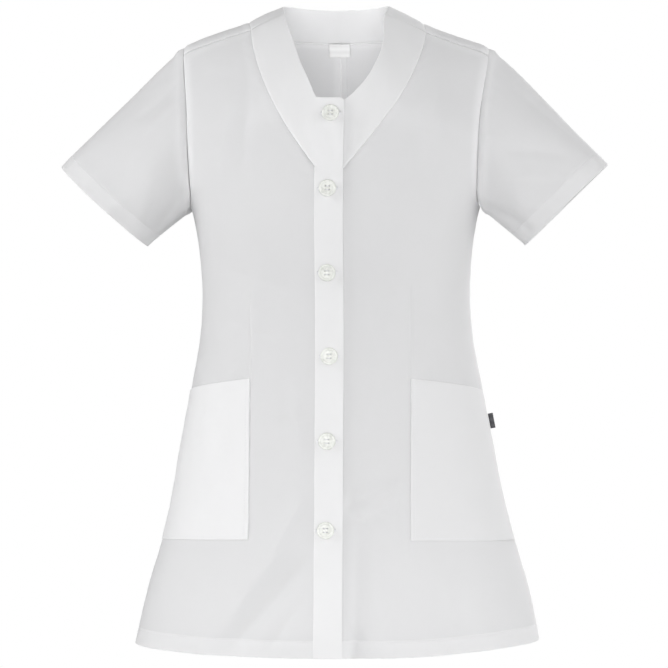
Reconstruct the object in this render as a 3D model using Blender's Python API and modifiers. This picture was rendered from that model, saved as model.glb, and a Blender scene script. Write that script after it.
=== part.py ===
"""A short-sleeved work tunic, worn open-hollow as on a figure: V neck with a set-in band, buttoned front.

Run with: blender --background --python part.py

Metres, +Z up. The front faces -Y and the wearer's left side is +X. The origin lies midway between the
two points where the neck edge crosses the shoulders, which is where a wearer holds the tunic up.

The cloth is drawn on one form. A point of the form has an angle round the body (0 at the middle of the
front or back, 90 at the side) and a fall (0 on top of the shoulder, growing down the front and
negative down the back). Each cut piece is a patch of that form, given a wall and parted at its seams.
"""

import math

import bmesh
import bpy
import numpy as np
from mathutils import Matrix, Vector

MM = 0.001

# Cloth and seams
WALL = 1.5 * MM
SEAM_GAP = 0.3 * MM
LAYER_STEP = WALL + SEAM_GAP
LAP_EASE = 1.2 * MM
BAND_EASE = 0.5 * MM
NORMAL_STEP = 0.02

# Body of the form: half width at the side seam, and the fullness of front and back, at each height
SECTIONS = [
    dict(z=-0.780, half_width=0.2455, front=0.141, back=0.133),
    dict(z=-0.700, half_width=0.2275, front=0.134, back=0.129),
    dict(z=-0.640, half_width=0.2122, front=0.128, back=0.124),
    dict(z=-0.580, half_width=0.1992, front=0.123, back=0.120),
    dict(z=-0.520, half_width=0.1882, front=0.118, back=0.113),
    dict(z=-0.460, half_width=0.1760, front=0.113, back=0.101),
    dict(z=-0.400, half_width=0.1648, front=0.110, back=0.089),
    dict(z=-0.355, half_width=0.1608, front=0.112, back=0.084),
    dict(z=-0.310, half_width=0.1620, front=0.119, back=0.088),
    dict(z=-0.270, half_width=0.1668, front=0.125, back=0.096),
    dict(z=-0.240, half_width=0.1735, front=0.125, back=0.101),
    dict(z=-0.210, half_width=0.1860, front=0.120, back=0.104),
    dict(z=-0.170, half_width=0.1980, front=0.111, back=0.104),
    dict(z=-0.130, half_width=0.2040, front=0.100, back=0.101),
    dict(z=-0.090, half_width=0.2060, front=0.091, back=0.097),
    dict(z=-0.040, half_width=0.2060, front=0.083, back=0.089),
    dict(z=0.040, half_width=0.2060, front=0.078, back=0.080),
]
ROUNDNESS = 2.2

# Top of the shoulder, from the neck to past the sleeve seam
SHOULDER_LINE = [
    dict(x=0.000, top=0.0390),
    dict(x=0.0635, top=0.0000),
    dict(x=0.1000, top=-0.0175),
    dict(x=0.1430, top=-0.0325),
    dict(x=0.1710, top=-0.0420),
    dict(x=0.1810, top=-0.0470),
    dict(x=0.2060, top=-0.0640),
]
SHOULDER_DEPTH = 0.120
FRONT_TURN = 1.5
BACK_TURN = 2.0
LEVEL_TOP = -0.020
LEVEL_FROM, LEVEL_TO = 1.0, 3.2
FALL_EASE = 0.2

# Cut lines
HEM_Z = -0.764
SLIT_Z = -0.708
SLIT_GAP = 3.0 * MM
ARMPIT_Z = -0.240
PLACKET_HALF = 16.5 * MM
V_BOTTOM_Z = -0.1175
PLACKET_SEAM_Z = -0.1985
BESIDE_STRIP = 0.040
NECK_SWAY = 5.0 * MM
BAND_ROLL = 1.2 * MM

# Seam of the front and the neck band, from under the placket up to the shoulder seam
FRONT_NECK_SEAM = [
    dict(x=-0.0165, z=-0.2290, sway=0.0),
    dict(x=0.0000, z=-0.2160, sway=0.0),
    dict(x=0.0160, z=-0.2000, sway=0.1),
    dict(x=0.0360, z=-0.1747, sway=0.4),
    dict(x=0.0560, z=-0.1470, sway=0.6),
    dict(x=0.0747, z=-0.1166, sway=1.0),
    dict(x=0.0870, z=-0.0915, sway=1.0),
    dict(x=0.0966, z=-0.0662, sway=1.0),
    dict(x=0.1020, z=-0.0470, sway=1.0),
    dict(x=0.1045, z=-0.0305, sway=0.9),
]
# Free inner edge of the neck band beside each of those seam points
FRONT_NECK_EDGE = [
    dict(x=-0.0165, z=-0.1175, sway=0.0),
    dict(x=0.0000, z=-0.1175, sway=0.0),
    dict(x=0.0165, z=-0.1175, sway=0.0),
    dict(x=0.0248, z=-0.1050, sway=0.6),
    dict(x=0.0330, z=-0.0910, sway=1.0),
    dict(x=0.0410, z=-0.0740, sway=1.0),
    dict(x=0.0470, z=-0.0570, sway=0.9),
    dict(x=0.0520, z=-0.0390, sway=0.5),
    dict(x=0.0560, z=-0.0225, sway=0.0),
    dict(x=0.0600, z=-0.0105, sway=0.0),
]
# Seam of the back and the neck band, from the middle of the back to the top of the shoulder, and the
# free inner edge beside it, which stands up round the neck
BACK_NECK = [
    dict(x=0.0000, z=-0.0350, edge_x=0.0000, edge_y=0.0570, edge_z=0.0030),
    dict(x=0.0300, z=-0.0350, edge_x=0.0190, edge_y=0.0552, edge_z=0.0035),
    dict(x=0.0550, z=-0.0345, edge_x=0.0350, edge_y=0.0500, edge_z=0.0040),
    dict(x=0.0750, z=-0.0325, edge_x=0.0480, edge_y=0.0410, edge_z=0.0045),
    dict(x=0.0900, z=-0.0290, edge_x=0.0560, edge_y=0.0300, edge_z=0.0045),
    dict(x=0.1000, z=-0.0245, edge_x=0.0610, edge_y=0.0170, edge_z=0.0030),
    dict(x=0.1045, z=-0.0200, edge_x=0.0635, edge_y=0.0040, edge_z=0.0005),
]
# Armhole: angle round the form at each height, from the armpit up to the shoulder seam
FRONT_ARMHOLE = [
    dict(angle=90.0, z=-0.2400),
    dict(angle=80.0, z=-0.2375),
    dict(angle=71.5, z=-0.2280),
    dict(angle=65.5, z=-0.2120),
    dict(angle=61.0, z=-0.1900),
    dict(angle=58.0, z=-0.1640),
    dict(angle=57.0, z=-0.1380),
    dict(angle=57.5, z=-0.1130),
    dict(angle=59.0, z=-0.0900),
    dict(angle=60.5, z=-0.0720),
    dict(angle=61.5, z=-0.0585),
]
BACK_ARMHOLE = [
    dict(angle=90.0, z=-0.2400),
    dict(angle=80.0, z=-0.2375),
    dict(angle=72.0, z=-0.2280),
    dict(angle=66.5, z=-0.2120),
    dict(angle=63.0, z=-0.1900),
    dict(angle=61.0, z=-0.1600),
    dict(angle=60.5, z=-0.1280),
    dict(angle=60.8, z=-0.0950),
    dict(angle=61.5, z=-0.0650),
    dict(angle=61.8, z=-0.0500),
]

# Sleeve: end of the tube, and how far each part of the armhole runs on before the tube straightens
SLEEVE_END = Vector((0.2769, 0.004, -0.2385))
SLEEVE_END_ACROSS = Vector((0.724, 0.0, 0.690))
SLEEVE_HALF_ACROSS = 0.0695
SLEEVE_HALF_DEEP = 0.0410
SLEEVE_AXIS = Vector((0.690, 0.0, -0.724))
SLEEVE_LEAVES = [
    dict(turn=0.0, x=0.55, y=0.00, z=-0.62, reach=0.24),
    dict(turn=0.5, x=0.87, y=0.24, z=-0.42, reach=0.26),
    dict(turn=1.0, x=0.78, y=0.00, z=-0.62, reach=0.16),
]
SLEEVE_ROWS = 8

# Patch pockets, caught in the side seams
POCKET_SIDE_SHARE = 0.88
POCKET_TOP = dict(inner=-0.444, outer=-0.459)
POCKET_BOTTOM = dict(inner=-0.630, outer=-0.637)
POCKET_MOUTH_LIFT = 2.2 * MM

# Buttons
BUTTON_RADIUS = 10.0 * MM
BUTTON_THICK = 3.0 * MM
BUTTON_GAP = 0.4 * MM
BUTTON_SIDES = 20
BUTTON_HOLE_RADIUS = 1.0 * MM
BUTTON_HOLE_APART = 2.2 * MM
BUTTONS = [
    dict(x=0.001, z=-0.1360),
    dict(x=-0.001, z=-0.2244),
    dict(x=-0.002, z=-0.3211),
    dict(x=0.000, z=-0.4178),
    dict(x=-0.002, z=-0.5158),
    dict(x=-0.003, z=-0.6179),
]

# Labels: blank, one inside the back neck and one folded into the wearer's left side seam
LABEL_X, LABEL_WIDTH = -0.001, 0.026
LABEL_TOP_Z, LABEL_BOTTOM_Z, LABEL_HANG = -0.0355, -0.0510, 0.8 * MM
TAB_Z, TAB_HEIGHT, TAB_REACH, TAB_THICK, TAB_LEAN = -0.496, 0.018, 0.0075, 1.2 * MM, 11.0
TURNING_WIDTH = 8.0 * MM
TURNING_THICK = 1.0 * MM
TURNING_STEP = TURNING_THICK + SEAM_GAP

# Soft folds of the hanging cloth: a trough (or ridge, if the depth is negative) along a line
FOLDS = [
    dict(face="front", x0=-0.010, z0=-0.612, x1=-0.108, z1=-0.745, width=0.018, depth=3.5 * MM),
    dict(face="front", x0=-0.012, z0=-0.655, x1=-0.098, z1=-0.742, width=0.014, depth=-2.5 * MM),
    dict(face="front", x0=-0.024, z0=-0.565, x1=-0.060, z1=-0.630, width=0.014, depth=-1.5 * MM),
    dict(face="front", x0=0.090, z0=-0.552, x1=0.016, z1=-0.588, width=0.015, depth=2.5 * MM),
    dict(face="front", x0=0.082, z0=-0.588, x1=0.030, z1=-0.612, width=0.016, depth=-1.5 * MM),
    dict(face="front", x0=0.027, z0=-0.690, x1=0.027, z1=-0.790, width=0.013, depth=3.0 * MM),
    dict(face="front", x0=-0.184, z0=-0.660, x1=-0.192, z1=-0.780, width=0.016, depth=2.5 * MM),
    dict(face="front", x0=0.130, z0=-0.650, x1=0.152, z1=-0.780, width=0.022, depth=2.0 * MM),
    dict(face="back", x0=-0.090, z0=-0.500, x1=-0.130, z1=-0.780, width=0.028, depth=3.5 * MM),
    dict(face="back", x0=-0.030, z0=-0.560, x1=-0.052, z1=-0.780, width=0.022, depth=2.5 * MM),
    dict(face="back", x0=0.100, z0=-0.520, x1=0.125, z1=-0.780, width=0.026, depth=3.0 * MM),
    dict(face="back", x0=0.012, z0=-0.350, x1=-0.075, z1=-0.410, width=0.020, depth=2.5 * MM),
    dict(face="back", x0=0.020, z0=-0.375, x1=0.090, z1=-0.405, width=0.018, depth=2.0 * MM),
]
STIFF_BESIDE = 0.018
# The hanging tunic is a little uneven: each row shifts the cloth round one place of the front view
SETTLING = [
    dict(x=0.245, z=-0.764, wide=0.100, tall=0.090, dx=0.0, dz=9.0 * MM),
    dict(x=-0.245, z=-0.764, wide=0.100, tall=0.090, dx=0.0, dz=2.0 * MM),
    dict(x=0.225, z=-0.690, wide=0.080, tall=0.090, dx=3.0 * MM, dz=0.0),
    dict(x=-0.200, z=-0.560, wide=0.080, tall=0.160, dx=3.2 * MM, dz=0.0),
    dict(x=-0.140, z=-0.040, wide=0.060, tall=0.080, dx=0.0, dz=3.0 * MM),
    dict(x=0.150, z=-0.040, wide=0.060, tall=0.080, dx=0.0, dz=-2.5 * MM),
    dict(x=-0.300, z=-0.200, wide=0.080, tall=0.120, dx=-6.0 * MM, dz=0.0),
    dict(x=0.300, z=-0.180, wide=0.080, tall=0.100, dx=-3.0 * MM, dz=0.0),
]
DART_X = 0.094
DART_COLUMNS = 5
SIDE_COLUMNS = 9
BACK_COLUMNS = 14
LOWER_ROWS = 20
BACK_RISE = 6

MATERIALS = {
    "cloth": dict(colour=(0.80, 0.80, 0.82), rough=0.9),
    "button": dict(colour=(0.82, 0.82, 0.78), rough=0.3),
    "label": dict(colour=(0.88, 0.88, 0.88), rough=0.7),
    "tab": dict(colour=(0.09, 0.09, 0.10), rough=0.7),
}


# ---------------------------------------------------------------- tables and small curves


def smooth_read(rows, key, column, at):
    """Reads a column of a table at a value of its key, on a smooth curve through the rows."""
    keys = [row[key] for row in rows]
    values = [row[column] for row in rows]
    at = min(max(at, keys[0]), keys[-1])
    i = min(max(int(np.searchsorted(keys, at)) - 1, 0), len(keys) - 2)

    def slope(k):
        if 0 < k < len(keys) - 1:
            return (values[k + 1] - values[k - 1]) / (keys[k + 1] - keys[k - 1])
        k = min(k, len(keys) - 2)
        return (values[k + 1] - values[k]) / (keys[k + 1] - keys[k])

    step = keys[i + 1] - keys[i]
    t = (at - keys[i]) / step
    return (
        values[i] * (2 * t**3 - 3 * t**2 + 1)
        + slope(i) * step * (t**3 - 2 * t**2 + t)
        + values[i + 1] * (3 * t**2 - 2 * t**3)
        + slope(i + 1) * step * (t**3 - t**2)
    )


def ease(t):
    """0 to 1 with level ends."""
    t = min(max(t, 0.0), 1.0)
    return t * t * (3 - 2 * t)


def mix(a, b, t):
    return a + (b - a) * t


# ---------------------------------------------------------------- the form


def section(column, z):
    return smooth_read(SECTIONS, "z", column, z)


def shoulder_top(x):
    return smooth_read(SHOULDER_LINE, "x", "top", abs(x))


def drop_of(fall):
    """How far down a fall is, in shoulder depths. It starts slowly, where the cloth rounds the shoulder."""
    fall = abs(fall)
    return fall * math.sqrt(fall / (fall + FALL_EASE)) if fall > 0 else 0.0


def height_at(x, fall):
    level = ease((abs(fall) - LEVEL_FROM) / (LEVEL_TO - LEVEL_FROM))
    return mix(shoulder_top(x), LEVEL_TOP, level) - SHOULDER_DEPTH * drop_of(fall)


def fall_at(x, z):
    """The fall, without its sign, at which the form has height z."""
    low, high = 0.0, 8.0
    for _ in range(40):
        middle = (low + high) / 2
        if height_at(x, middle) > z:
            low = middle
        else:
            high = middle
    return (low + high) / 2


def across(angle, half_width):
    """Distance from the middle plane at an angle round the form."""
    s = math.sin(math.radians(angle))
    return half_width * math.copysign(abs(s) ** (2 / ROUNDNESS), s)


def angle_at(x, z):
    u = min(abs(x) / section("half_width", z), 1.0)
    return math.copysign(math.degrees(math.asin(u ** (ROUNDNESS / 2))), x)


def fold_depth(face, x, z):
    """How far the folds push the cloth in at a point of one face. The buttoned layers stay flat."""
    total = 0.0
    for fold in FOLDS:
        if fold["face"] != face:
            continue
        line_x, line_z = fold["x1"] - fold["x0"], fold["z1"] - fold["z0"]
        length = math.hypot(line_x, line_z)
        along = ((x - fold["x0"]) * line_x + (z - fold["z0"]) * line_z) / length**2
        away = ((x - fold["x0"]) * line_z - (z - fold["z0"]) * line_x) / length
        fade = ease(along / 0.5) if along < 0.5 else ease((1.35 - along) / 0.5)
        total += fold["depth"] * fade * math.exp(-((away / fold["width"]) ** 2))
    beside = ease((abs(x) - PLACKET_HALF) / STIFF_BESIDE) if face == "front" else 1.0
    return total * beside


def form_point(angle, fall, side):
    """A point of the form on the wearer's left (side 1) or right (side -1)."""
    z = height_at(0.1, fall)
    for _ in range(8):
        x = across(angle, section("half_width", z))
        z = height_at(x, fall)
    q = min(drop_of(fall), 1.0)
    turn = FRONT_TURN if fall > 0 else BACK_TURN
    rounding = (1 - (1 - q) ** turn) ** (1 / turn)
    full = section("front" if fall > 0 else "back", z)
    full -= fold_depth("front" if fall > 0 else "back", side * x, z)
    y = full * rounding * max(math.cos(math.radians(angle)), 0.0) ** (2 / ROUNDNESS)
    return Vector((side * x, -y if fall > 0 else y, z))


def form_normal(angle, fall, side):
    """Outward direction of the form, from its slopes on either side of the point."""
    step = NORMAL_STEP
    turn = 40 * step
    low, high = min(angle + turn, 89.9), min(angle, 89.9 - 2 * turn) - turn
    round_it = form_point(low, fall, side) - form_point(high, fall, side)
    if abs(fall) < 2 * step:
        down = form_point(angle, 2 * step, side) - form_point(angle, -2 * step, side)
    else:
        down = form_point(angle, fall + step, side) - form_point(angle, fall - step, side)
    normal = down.cross(round_it) * side
    if angle > 89.0:
        normal.y = 0.0
    return normal.normalized()


# ---------------------------------------------------------------- walls


def to_array(grid):
    return np.array([[tuple(p) for p in row] for row in grid], float)


def pull_in(points, edge, by):
    """Moves one edge of a grid of points towards its neighbours, to leave a gap at a seam."""
    if edge in ("left", "right"):
        line, inner = (0, 1) if edge == "left" else (-1, -2)
        step = points[:, inner] - points[:, line]
        by = np.broadcast_to(np.asarray(by, float), (len(points),))
        points[:, line] += step / np.linalg.norm(step, axis=1)[:, None] * by[:, None]
    else:
        line, inner = (0, 1) if edge == "bottom" else (-1, -2)
        step = points[inner] - points[line]
        points[line] += step / np.linalg.norm(step, axis=1)[:, None] * by


def settled(point):
    """Where a point of the even form comes to rest in the hanging tunic."""
    shift_x = shift_z = 0.0
    for row in SETTLING:
        near = ((point[0] - row["x"]) / row["wide"]) ** 2 + ((point[2] - row["z"]) / row["tall"]) ** 2
        shift_x += row["dx"] * math.exp(-near)
        shift_z += row["dz"] * math.exp(-near)
    return Vector((point[0] + shift_x, point[1], point[2] + shift_z))


def make_object(name, mesh, material):
    mesh.materials.append(material)
    piece = bpy.data.objects.new(name, mesh)
    PARTS.objects.link(piece)
    mesh.shade_smooth()
    mesh.set_sharp_from_angle(angle=math.radians(50))
    return piece


def wall_between(name, outer, inner, material, ring=False):
    """A closed wall between two grids of points. A ring is joined round its columns."""
    rows, columns, _ = outer.shape
    bm = bmesh.new()
    skins = [
        [[bm.verts.new(settled(p)) for p in row] for row in skin] for skin in (outer, inner)
    ]
    last = columns if ring else columns - 1
    for skin, flip in zip(skins, (False, True)):
        for i in range(rows - 1):
            for j in range(last):
                k = (j + 1) % columns
                loop = [skin[i][j], skin[i][k], skin[i + 1][k], skin[i + 1][j]]
                bm.faces.new(loop[::-1] if flip else loop)
    out, inn = skins
    rims = [(out[0], inn[0], last, False), (out[-1], inn[-1], last, True)]
    if not ring:
        rims.append(([r[0] for r in out], [r[0] for r in inn], rows - 1, True))
        rims.append(([r[-1] for r in out], [r[-1] for r in inn], rows - 1, False))
    for top, under, count, flip in rims:
        for j in range(count):
            k = (j + 1) % len(top)
            loop = [top[j], under[j], under[k], top[k]]
            bm.faces.new(loop[::-1] if flip else loop)
    bmesh.ops.recalc_face_normals(bm, faces=bm.faces)
    mesh = bpy.data.meshes.new(name)
    bm.to_mesh(mesh)
    bm.free()
    return make_object(name, mesh, material)


def skins_of(params, side, lift, thick=WALL):
    """Outer and inner grids of points for a grid of (angle, fall) pairs.

    lift(x, z) is how far the outer skin stands off the form.
    """
    outer, inner = [], []
    for row in params:
        outer.append([])
        inner.append([])
        for angle, fall in row:
            point = form_point(angle, fall, side)
            normal = form_normal(angle, fall, side)
            raised = lift(point.x, point.z)
            outer[-1].append(point + normal * raised)
            inner[-1].append(point + normal * (raised - thick))
    return to_array(outer), to_array(inner)


def no_lift(x, z):
    return 0.0


# ---------------------------------------------------------------- body panels


def lower_levels():
    """Heights of the level rows from the hem to the armpit, one at the end of the side slit."""
    above = LOWER_ROWS - 3
    return [HEM_Z, mix(HEM_Z, SLIT_Z, 0.5), *(mix(SLIT_Z, ARMPIT_Z, k / above) for k in range(above + 1))]


def level_pair(x, z):
    return angle_at(x, z), fall_at(x, z)


def front_rows(side):
    """Left and right ends, as (angle, fall), of each row of a front, hem first."""
    rows = []
    for z in lower_levels():
        side_x = section("half_width", z)
        rows.append((level_pair(-PLACKET_HALF, z), (90.0, fall_at(side_x, z))))
    return rows + list(zip(neck_seam_pairs(side), front_armhole()[1:]))


def armhole_pairs(table, sign):
    pairs = []
    for row in table:
        x = across(row["angle"], section("half_width", row["z"]))
        pairs.append((row["angle"], sign * fall_at(x, row["z"])))
    return pairs


def even_pairs(pairs, count):
    """The same line of (angle, fall) pairs, parted into equal lengths on the form."""
    fine = []
    for a, b in zip(pairs, pairs[1:]):
        fine += [(mix(a[0], b[0], k / 6), mix(a[1], b[1], k / 6)) for k in range(6)]
    fine.append(pairs[-1])
    places = [form_point(a, f, 1) for a, f in fine]
    reach = np.cumsum([0.0] + [(q - p).length for p, q in zip(places, places[1:])])
    even = np.linspace(0.0, reach[-1], count + 1)
    angles = np.interp(even, reach, [pair[0] for pair in fine])
    falls = np.interp(even, reach, [pair[1] for pair in fine])
    return [(float(a), float(f)) for a, f in zip(angles, falls)]


def front_armhole():
    """Armpit first, up to the shoulder seam, with a pair for each row of the front."""
    return even_pairs(armhole_pairs(FRONT_ARMHOLE, 1), len(FRONT_NECK_SEAM))


def back_armhole():
    """Armpit first, over the top of the shoulder and down to the shoulder seam."""
    up = armhole_pairs(BACK_ARMHOLE, -1) + [(61.8, 0.0)]
    return even_pairs(up, BACK_RISE + len(BACK_NECK)) + [front_armhole()[-1]]


def swayed(x, sway, side):
    """The neck opening sits a little towards the wearer's left."""
    return x + side * sway * NECK_SWAY


def neck_seam_pairs(side):
    pairs = []
    for row in FRONT_NECK_SEAM:
        x = swayed(row["x"], row["sway"], side)
        pairs.append(level_pair(x, row["z"]))
    return pairs


def back_neck_pairs(side):
    """Back neck seam as (angle, fall) from the middle to the ridge, then to the shoulder seam."""
    pairs = []
    for row in BACK_NECK[:-1]:
        pairs.append((angle_at(row["x"], row["z"]), -fall_at(row["x"], row["z"])))
    top = BACK_NECK[-1]
    pairs.append((angle_at(top["x"], top["z"]), 0.0))
    pairs.append(neck_seam_pairs(side)[-1])
    return pairs


def back_rows(side):
    rows = []
    for z in lower_levels():
        side_x = section("half_width", z)
        rows.append(((0.0, -fall_at(0.0, z)), (90.0, -fall_at(side_x, z))))
    middle = []
    for k in range(1, BACK_RISE + 1):
        z = mix(ARMPIT_Z, BACK_NECK[0]["z"], k / (BACK_RISE + 1))
        middle.append((0.0, -fall_at(0.0, z)))
    return rows + list(zip(middle + back_neck_pairs(side), back_armhole()[1:]))


def fill_rows(rows, shares_of_rows):
    """A grid of (angle, fall) pairs between the two ends of each row."""
    return [
        [(mix(a[0], b[0], t), mix(a[1], b[1], t)) for t in shares]
        for (a, b), shares in zip(rows, shares_of_rows)
    ]


def front_shares(rows):
    """Columns of a front keep to both edges of the button strip, the dart line and the side."""
    shares = []
    for row, z in zip(rows, lower_levels()):
        left, right = row[0][0], row[1][0]
        strip, dart = ((angle_at(x, z) - left) / (right - left) for x in (PLACKET_HALF, DART_X))
        near = [mix(strip, dart, k / DART_COLUMNS) for k in range(DART_COLUMNS)]
        far = [mix(dart, 1.0, k / SIDE_COLUMNS) for k in range(SIDE_COLUMNS + 1)]
        shares.append([0.0, *near, *far])
    return shares + [shares[-1]] * (len(rows) - len(shares))


def under_lap(x, z):
    """The wearer's left front passes under the right one along the buttons."""
    return -(LAYER_STEP + LAP_EASE) * ease((PLACKET_HALF + 0.040 - x) / 0.030)


def slit_gaps(heights):
    """Gap at the side edge of a panel, row by row: wide along the slit, a seam above."""
    return [SLIT_GAP / 2 if z < SLIT_Z - MM else SEAM_GAP / 2 for z in heights]


def body_panel(rows, shares, side, lift, rims):
    """Outer and inner skins of a body panel. The rims part its wall from the sleeve's."""
    params = fill_rows(rows, shares)
    outer, inner = skins_of(params, side, lift)
    heights = outer[:, -1, 2].copy()
    first = len(outer) - len(rims)
    for k, rim in enumerate(rims):
        inner[first + k, -1] = outer[first + k, -1] + np.array((side * rim.x, rim.y, rim.z))
    for skin in (outer, inner):
        pull_in(skin, "top", SEAM_GAP / 2)
        pull_in(skin, "right", slit_gaps(heights))
    return outer, inner


def make_fronts(material):
    rims = armhole_rims()[0]
    for side, name in ((-1, "front_right"), (1, "front_left")):
        lift = under_lap if side == 1 else no_lift
        rows = front_rows(side)
        outer, inner = body_panel(rows, front_shares(rows), side, lift, rims)
        neck_from = len(outer) - len(FRONT_NECK_SEAM)
        gaps = [0.0] * neck_from + [SEAM_GAP / 2] * len(FRONT_NECK_SEAM)
        for skin in (outer, inner):
            pull_in(skin, "left", gaps)
        wall_between(name, outer, inner, material)
        make_pocket(name.replace("front", "pocket"), outer, inner, material)
        if side == -1:
            strip = make_placket(outer, inner, material)
    return strip


def make_backs(material, turning_material):
    rims = armhole_rims()[1]
    for side, name in ((-1, "back_right"), (1, "back_left")):
        rows = back_rows(side)
        shares = [[k / BACK_COLUMNS for k in range(BACK_COLUMNS + 1)]] * len(rows)
        outer, inner = body_panel(rows, shares, side, no_lift, rims)
        for skin in (outer, inner):
            pull_in(skin, "left", SEAM_GAP / 2)
        wall_between(name, outer, inner, material)
    make_turning(outer, inner, turning_material)


# ---------------------------------------------------------------- sleeves


def armhole_ring():
    """(angle, fall) round the armhole: armpit, up the front, over the shoulder, down the back."""
    return [*front_armhole(), *back_armhole()[1:-1][::-1]]


def armhole_rims():
    """From outer to inner skin along the seam of body and sleeve, halfway between the two cloths."""
    skin = sleeve_skin()
    rims = []
    for j, (angle, fall) in enumerate(armhole_ring()):
        body = form_normal(angle, fall, 1)
        middle = (body + skin_normal(skin, 0, j)).normalized()
        rims.append(-middle * min(WALL / max(middle.dot(body), 0.1), 2 * WALL))
    count = len(front_armhole())
    return rims[:count], [rims[0], *rims[count:][::-1], rims[count - 1]]


def leave_direction(point):
    """Way in which the sleeve leaves the armhole, and how far it keeps to it."""
    tip_z = shoulder_top(0.18)
    turn = min(max((point.z - ARMPIT_Z) / (tip_z - ARMPIT_Z), 0.0), 1.0)
    values = {c: smooth_read(SLEEVE_LEAVES, "turn", c, turn) for c in ("x", "y", "z", "reach")}
    values["y"] *= -1 if point.y < 0 else 1
    values["y"] *= min(abs(point.y) / 0.03, 1.0)
    way = Vector((values["x"], values["y"], values["z"])).normalized()
    return way, values["reach"]


def sleeve_curve(start, end, t):
    """A point at t on the curve along the sleeve."""
    way, reach = leave_direction(start)
    length = (end - start).length
    first = start + way * length * reach
    last = end - SLEEVE_AXIS * length * 0.30
    u = 1 - t
    return start * u**3 + first * 3 * u * u * t + last * 3 * u * t * t + end * t**3


def sleeve_end_point(share):
    """The hem oval: share 0 at the underarm, then the front, the top and the back."""
    a = math.tau * share
    return (
        SLEEVE_END
        - SLEEVE_END_ACROSS * SLEEVE_HALF_ACROSS * math.cos(a)
        - Vector((0, 1, 0)) * SLEEVE_HALF_DEEP * math.sin(a)
    )


def sleeve_skin():
    """Outer points of the wearer's left sleeve, ring by ring from the armhole."""
    starts = [form_point(a, f, 1) for a, f in armhole_ring()]
    reach = [0.0]
    for p, q in zip(starts, starts[1:] + starts[:1]):
        reach.append(reach[-1] + (q - p).length)
    ends = [sleeve_end_point(even_share(r / reach[-1], starts, reach)) for r in reach[:-1]]
    shares = [(k / SLEEVE_ROWS) ** 1.15 for k in range(SLEEVE_ROWS + 1)]
    return [[sleeve_curve(p, e, t) for p, e in zip(starts, ends)] for t in shares]


def skin_normal(skin, i, j):
    row = skin[i]
    before, after = skin[max(i - 1, 0)], skin[min(i + 1, len(skin) - 1)]
    round_it = row[(j + 1) % len(row)] - row[j - 1]
    return (after[j] - before[j]).cross(round_it).normalized()


def make_sleeves(material):
    front, back = armhole_rims()
    rims = [*front, *back[1:-1][::-1]]
    skin = sleeve_skin()
    under = [[p + rim for p, rim in zip(skin[0], rims)]]
    for i in range(1, len(skin)):
        under.append([p - skin_normal(skin, i, j) * WALL for j, p in enumerate(skin[i])])
    for side, name in ((-1, "sleeve_right"), (1, "sleeve_left")):
        outer, inner = to_array(skin), to_array(under)
        for points in (outer, inner):
            pull_in(points, "bottom", SEAM_GAP / 2)
            points[:, :, 0] *= side
        wall_between(name, outer, inner, material, ring=True)


def even_share(share, starts, reach):
    """Keeps the top of the sleeve over the top of the shoulder as the ring turns into the hem oval."""
    top = max(range(len(starts)), key=lambda k: starts[k].z)
    at_top = reach[top] / reach[-1]
    if share < at_top:
        return 0.5 * share / at_top
    return 0.5 + 0.5 * (share - at_top) / (1 - at_top)


# ---------------------------------------------------------------- neck band, placket and pockets


def band_between(name, seam, seam_normals, edge, material, parted):
    """A strip from the neck seam to the free inner edge, four points wide.

    parted names the ends of the strip that lie in the shoulder seams.
    """
    shares = (0, 1 / 3, 2 / 3, 1)
    outer = []
    for i, (s, n, e) in enumerate(zip(seam, seam_normals, edge)):
        roll = BAND_ROLL if "bottom" in parted else BAND_ROLL * ease((i - 2) / 3)
        outer.append([s.lerp(e, b) + n * (roll * math.sin(math.pi * b)) for b in shares])
    last = len(outer) - 1
    inner = []
    for i, row in enumerate(outer):
        run = outer[min(i + 1, last)][3] - outer[max(i - 1, 0)][3]
        if (i == last and "top" in parted) or (i == 0 and "bottom" in parted):
            run = Vector((0, 1, 0))
        own = run.cross(edge[i] - seam[i]).normalized()
        if own.dot(seam_normals[i]) < 0:
            own.negate()
        turns = [seam_normals[i].lerp(own, b).normalized() for b in shares]
        inner.append([point - turn * WALL for point, turn in zip(row, turns)])
    outer, inner = to_array(outer), to_array(inner)
    for skin in (outer, inner):
        pull_in(skin, "left", SEAM_GAP / 2)
        for end in parted:
            pull_in(skin, end, SEAM_GAP / 2)
    wall_between(name, outer, inner, material)


def seam_points(pairs, side, lift=no_lift):
    points, normals = [], []
    for angle, fall in pairs:
        point, normal = form_point(angle, fall, side), form_normal(angle, fall, side)
        points.append(point + normal * lift(point.x, point.z))
        normals.append(normal)
    return points, normals


def front_edge_points(side, lift):
    pairs = []
    for row in FRONT_NECK_EDGE:
        x = swayed(row["x"], row["sway"], side)
        pairs.append(level_pair(x, row["z"]))
    return seam_points(pairs, side, lift)[0]


def beside_strip(x, z):
    """The right band comes up level with the placket that it runs into."""
    return (LAYER_STEP + BAND_EASE) * ease((BESIDE_STRIP - abs(x)) / (BESIDE_STRIP - PLACKET_HALF))


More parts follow.
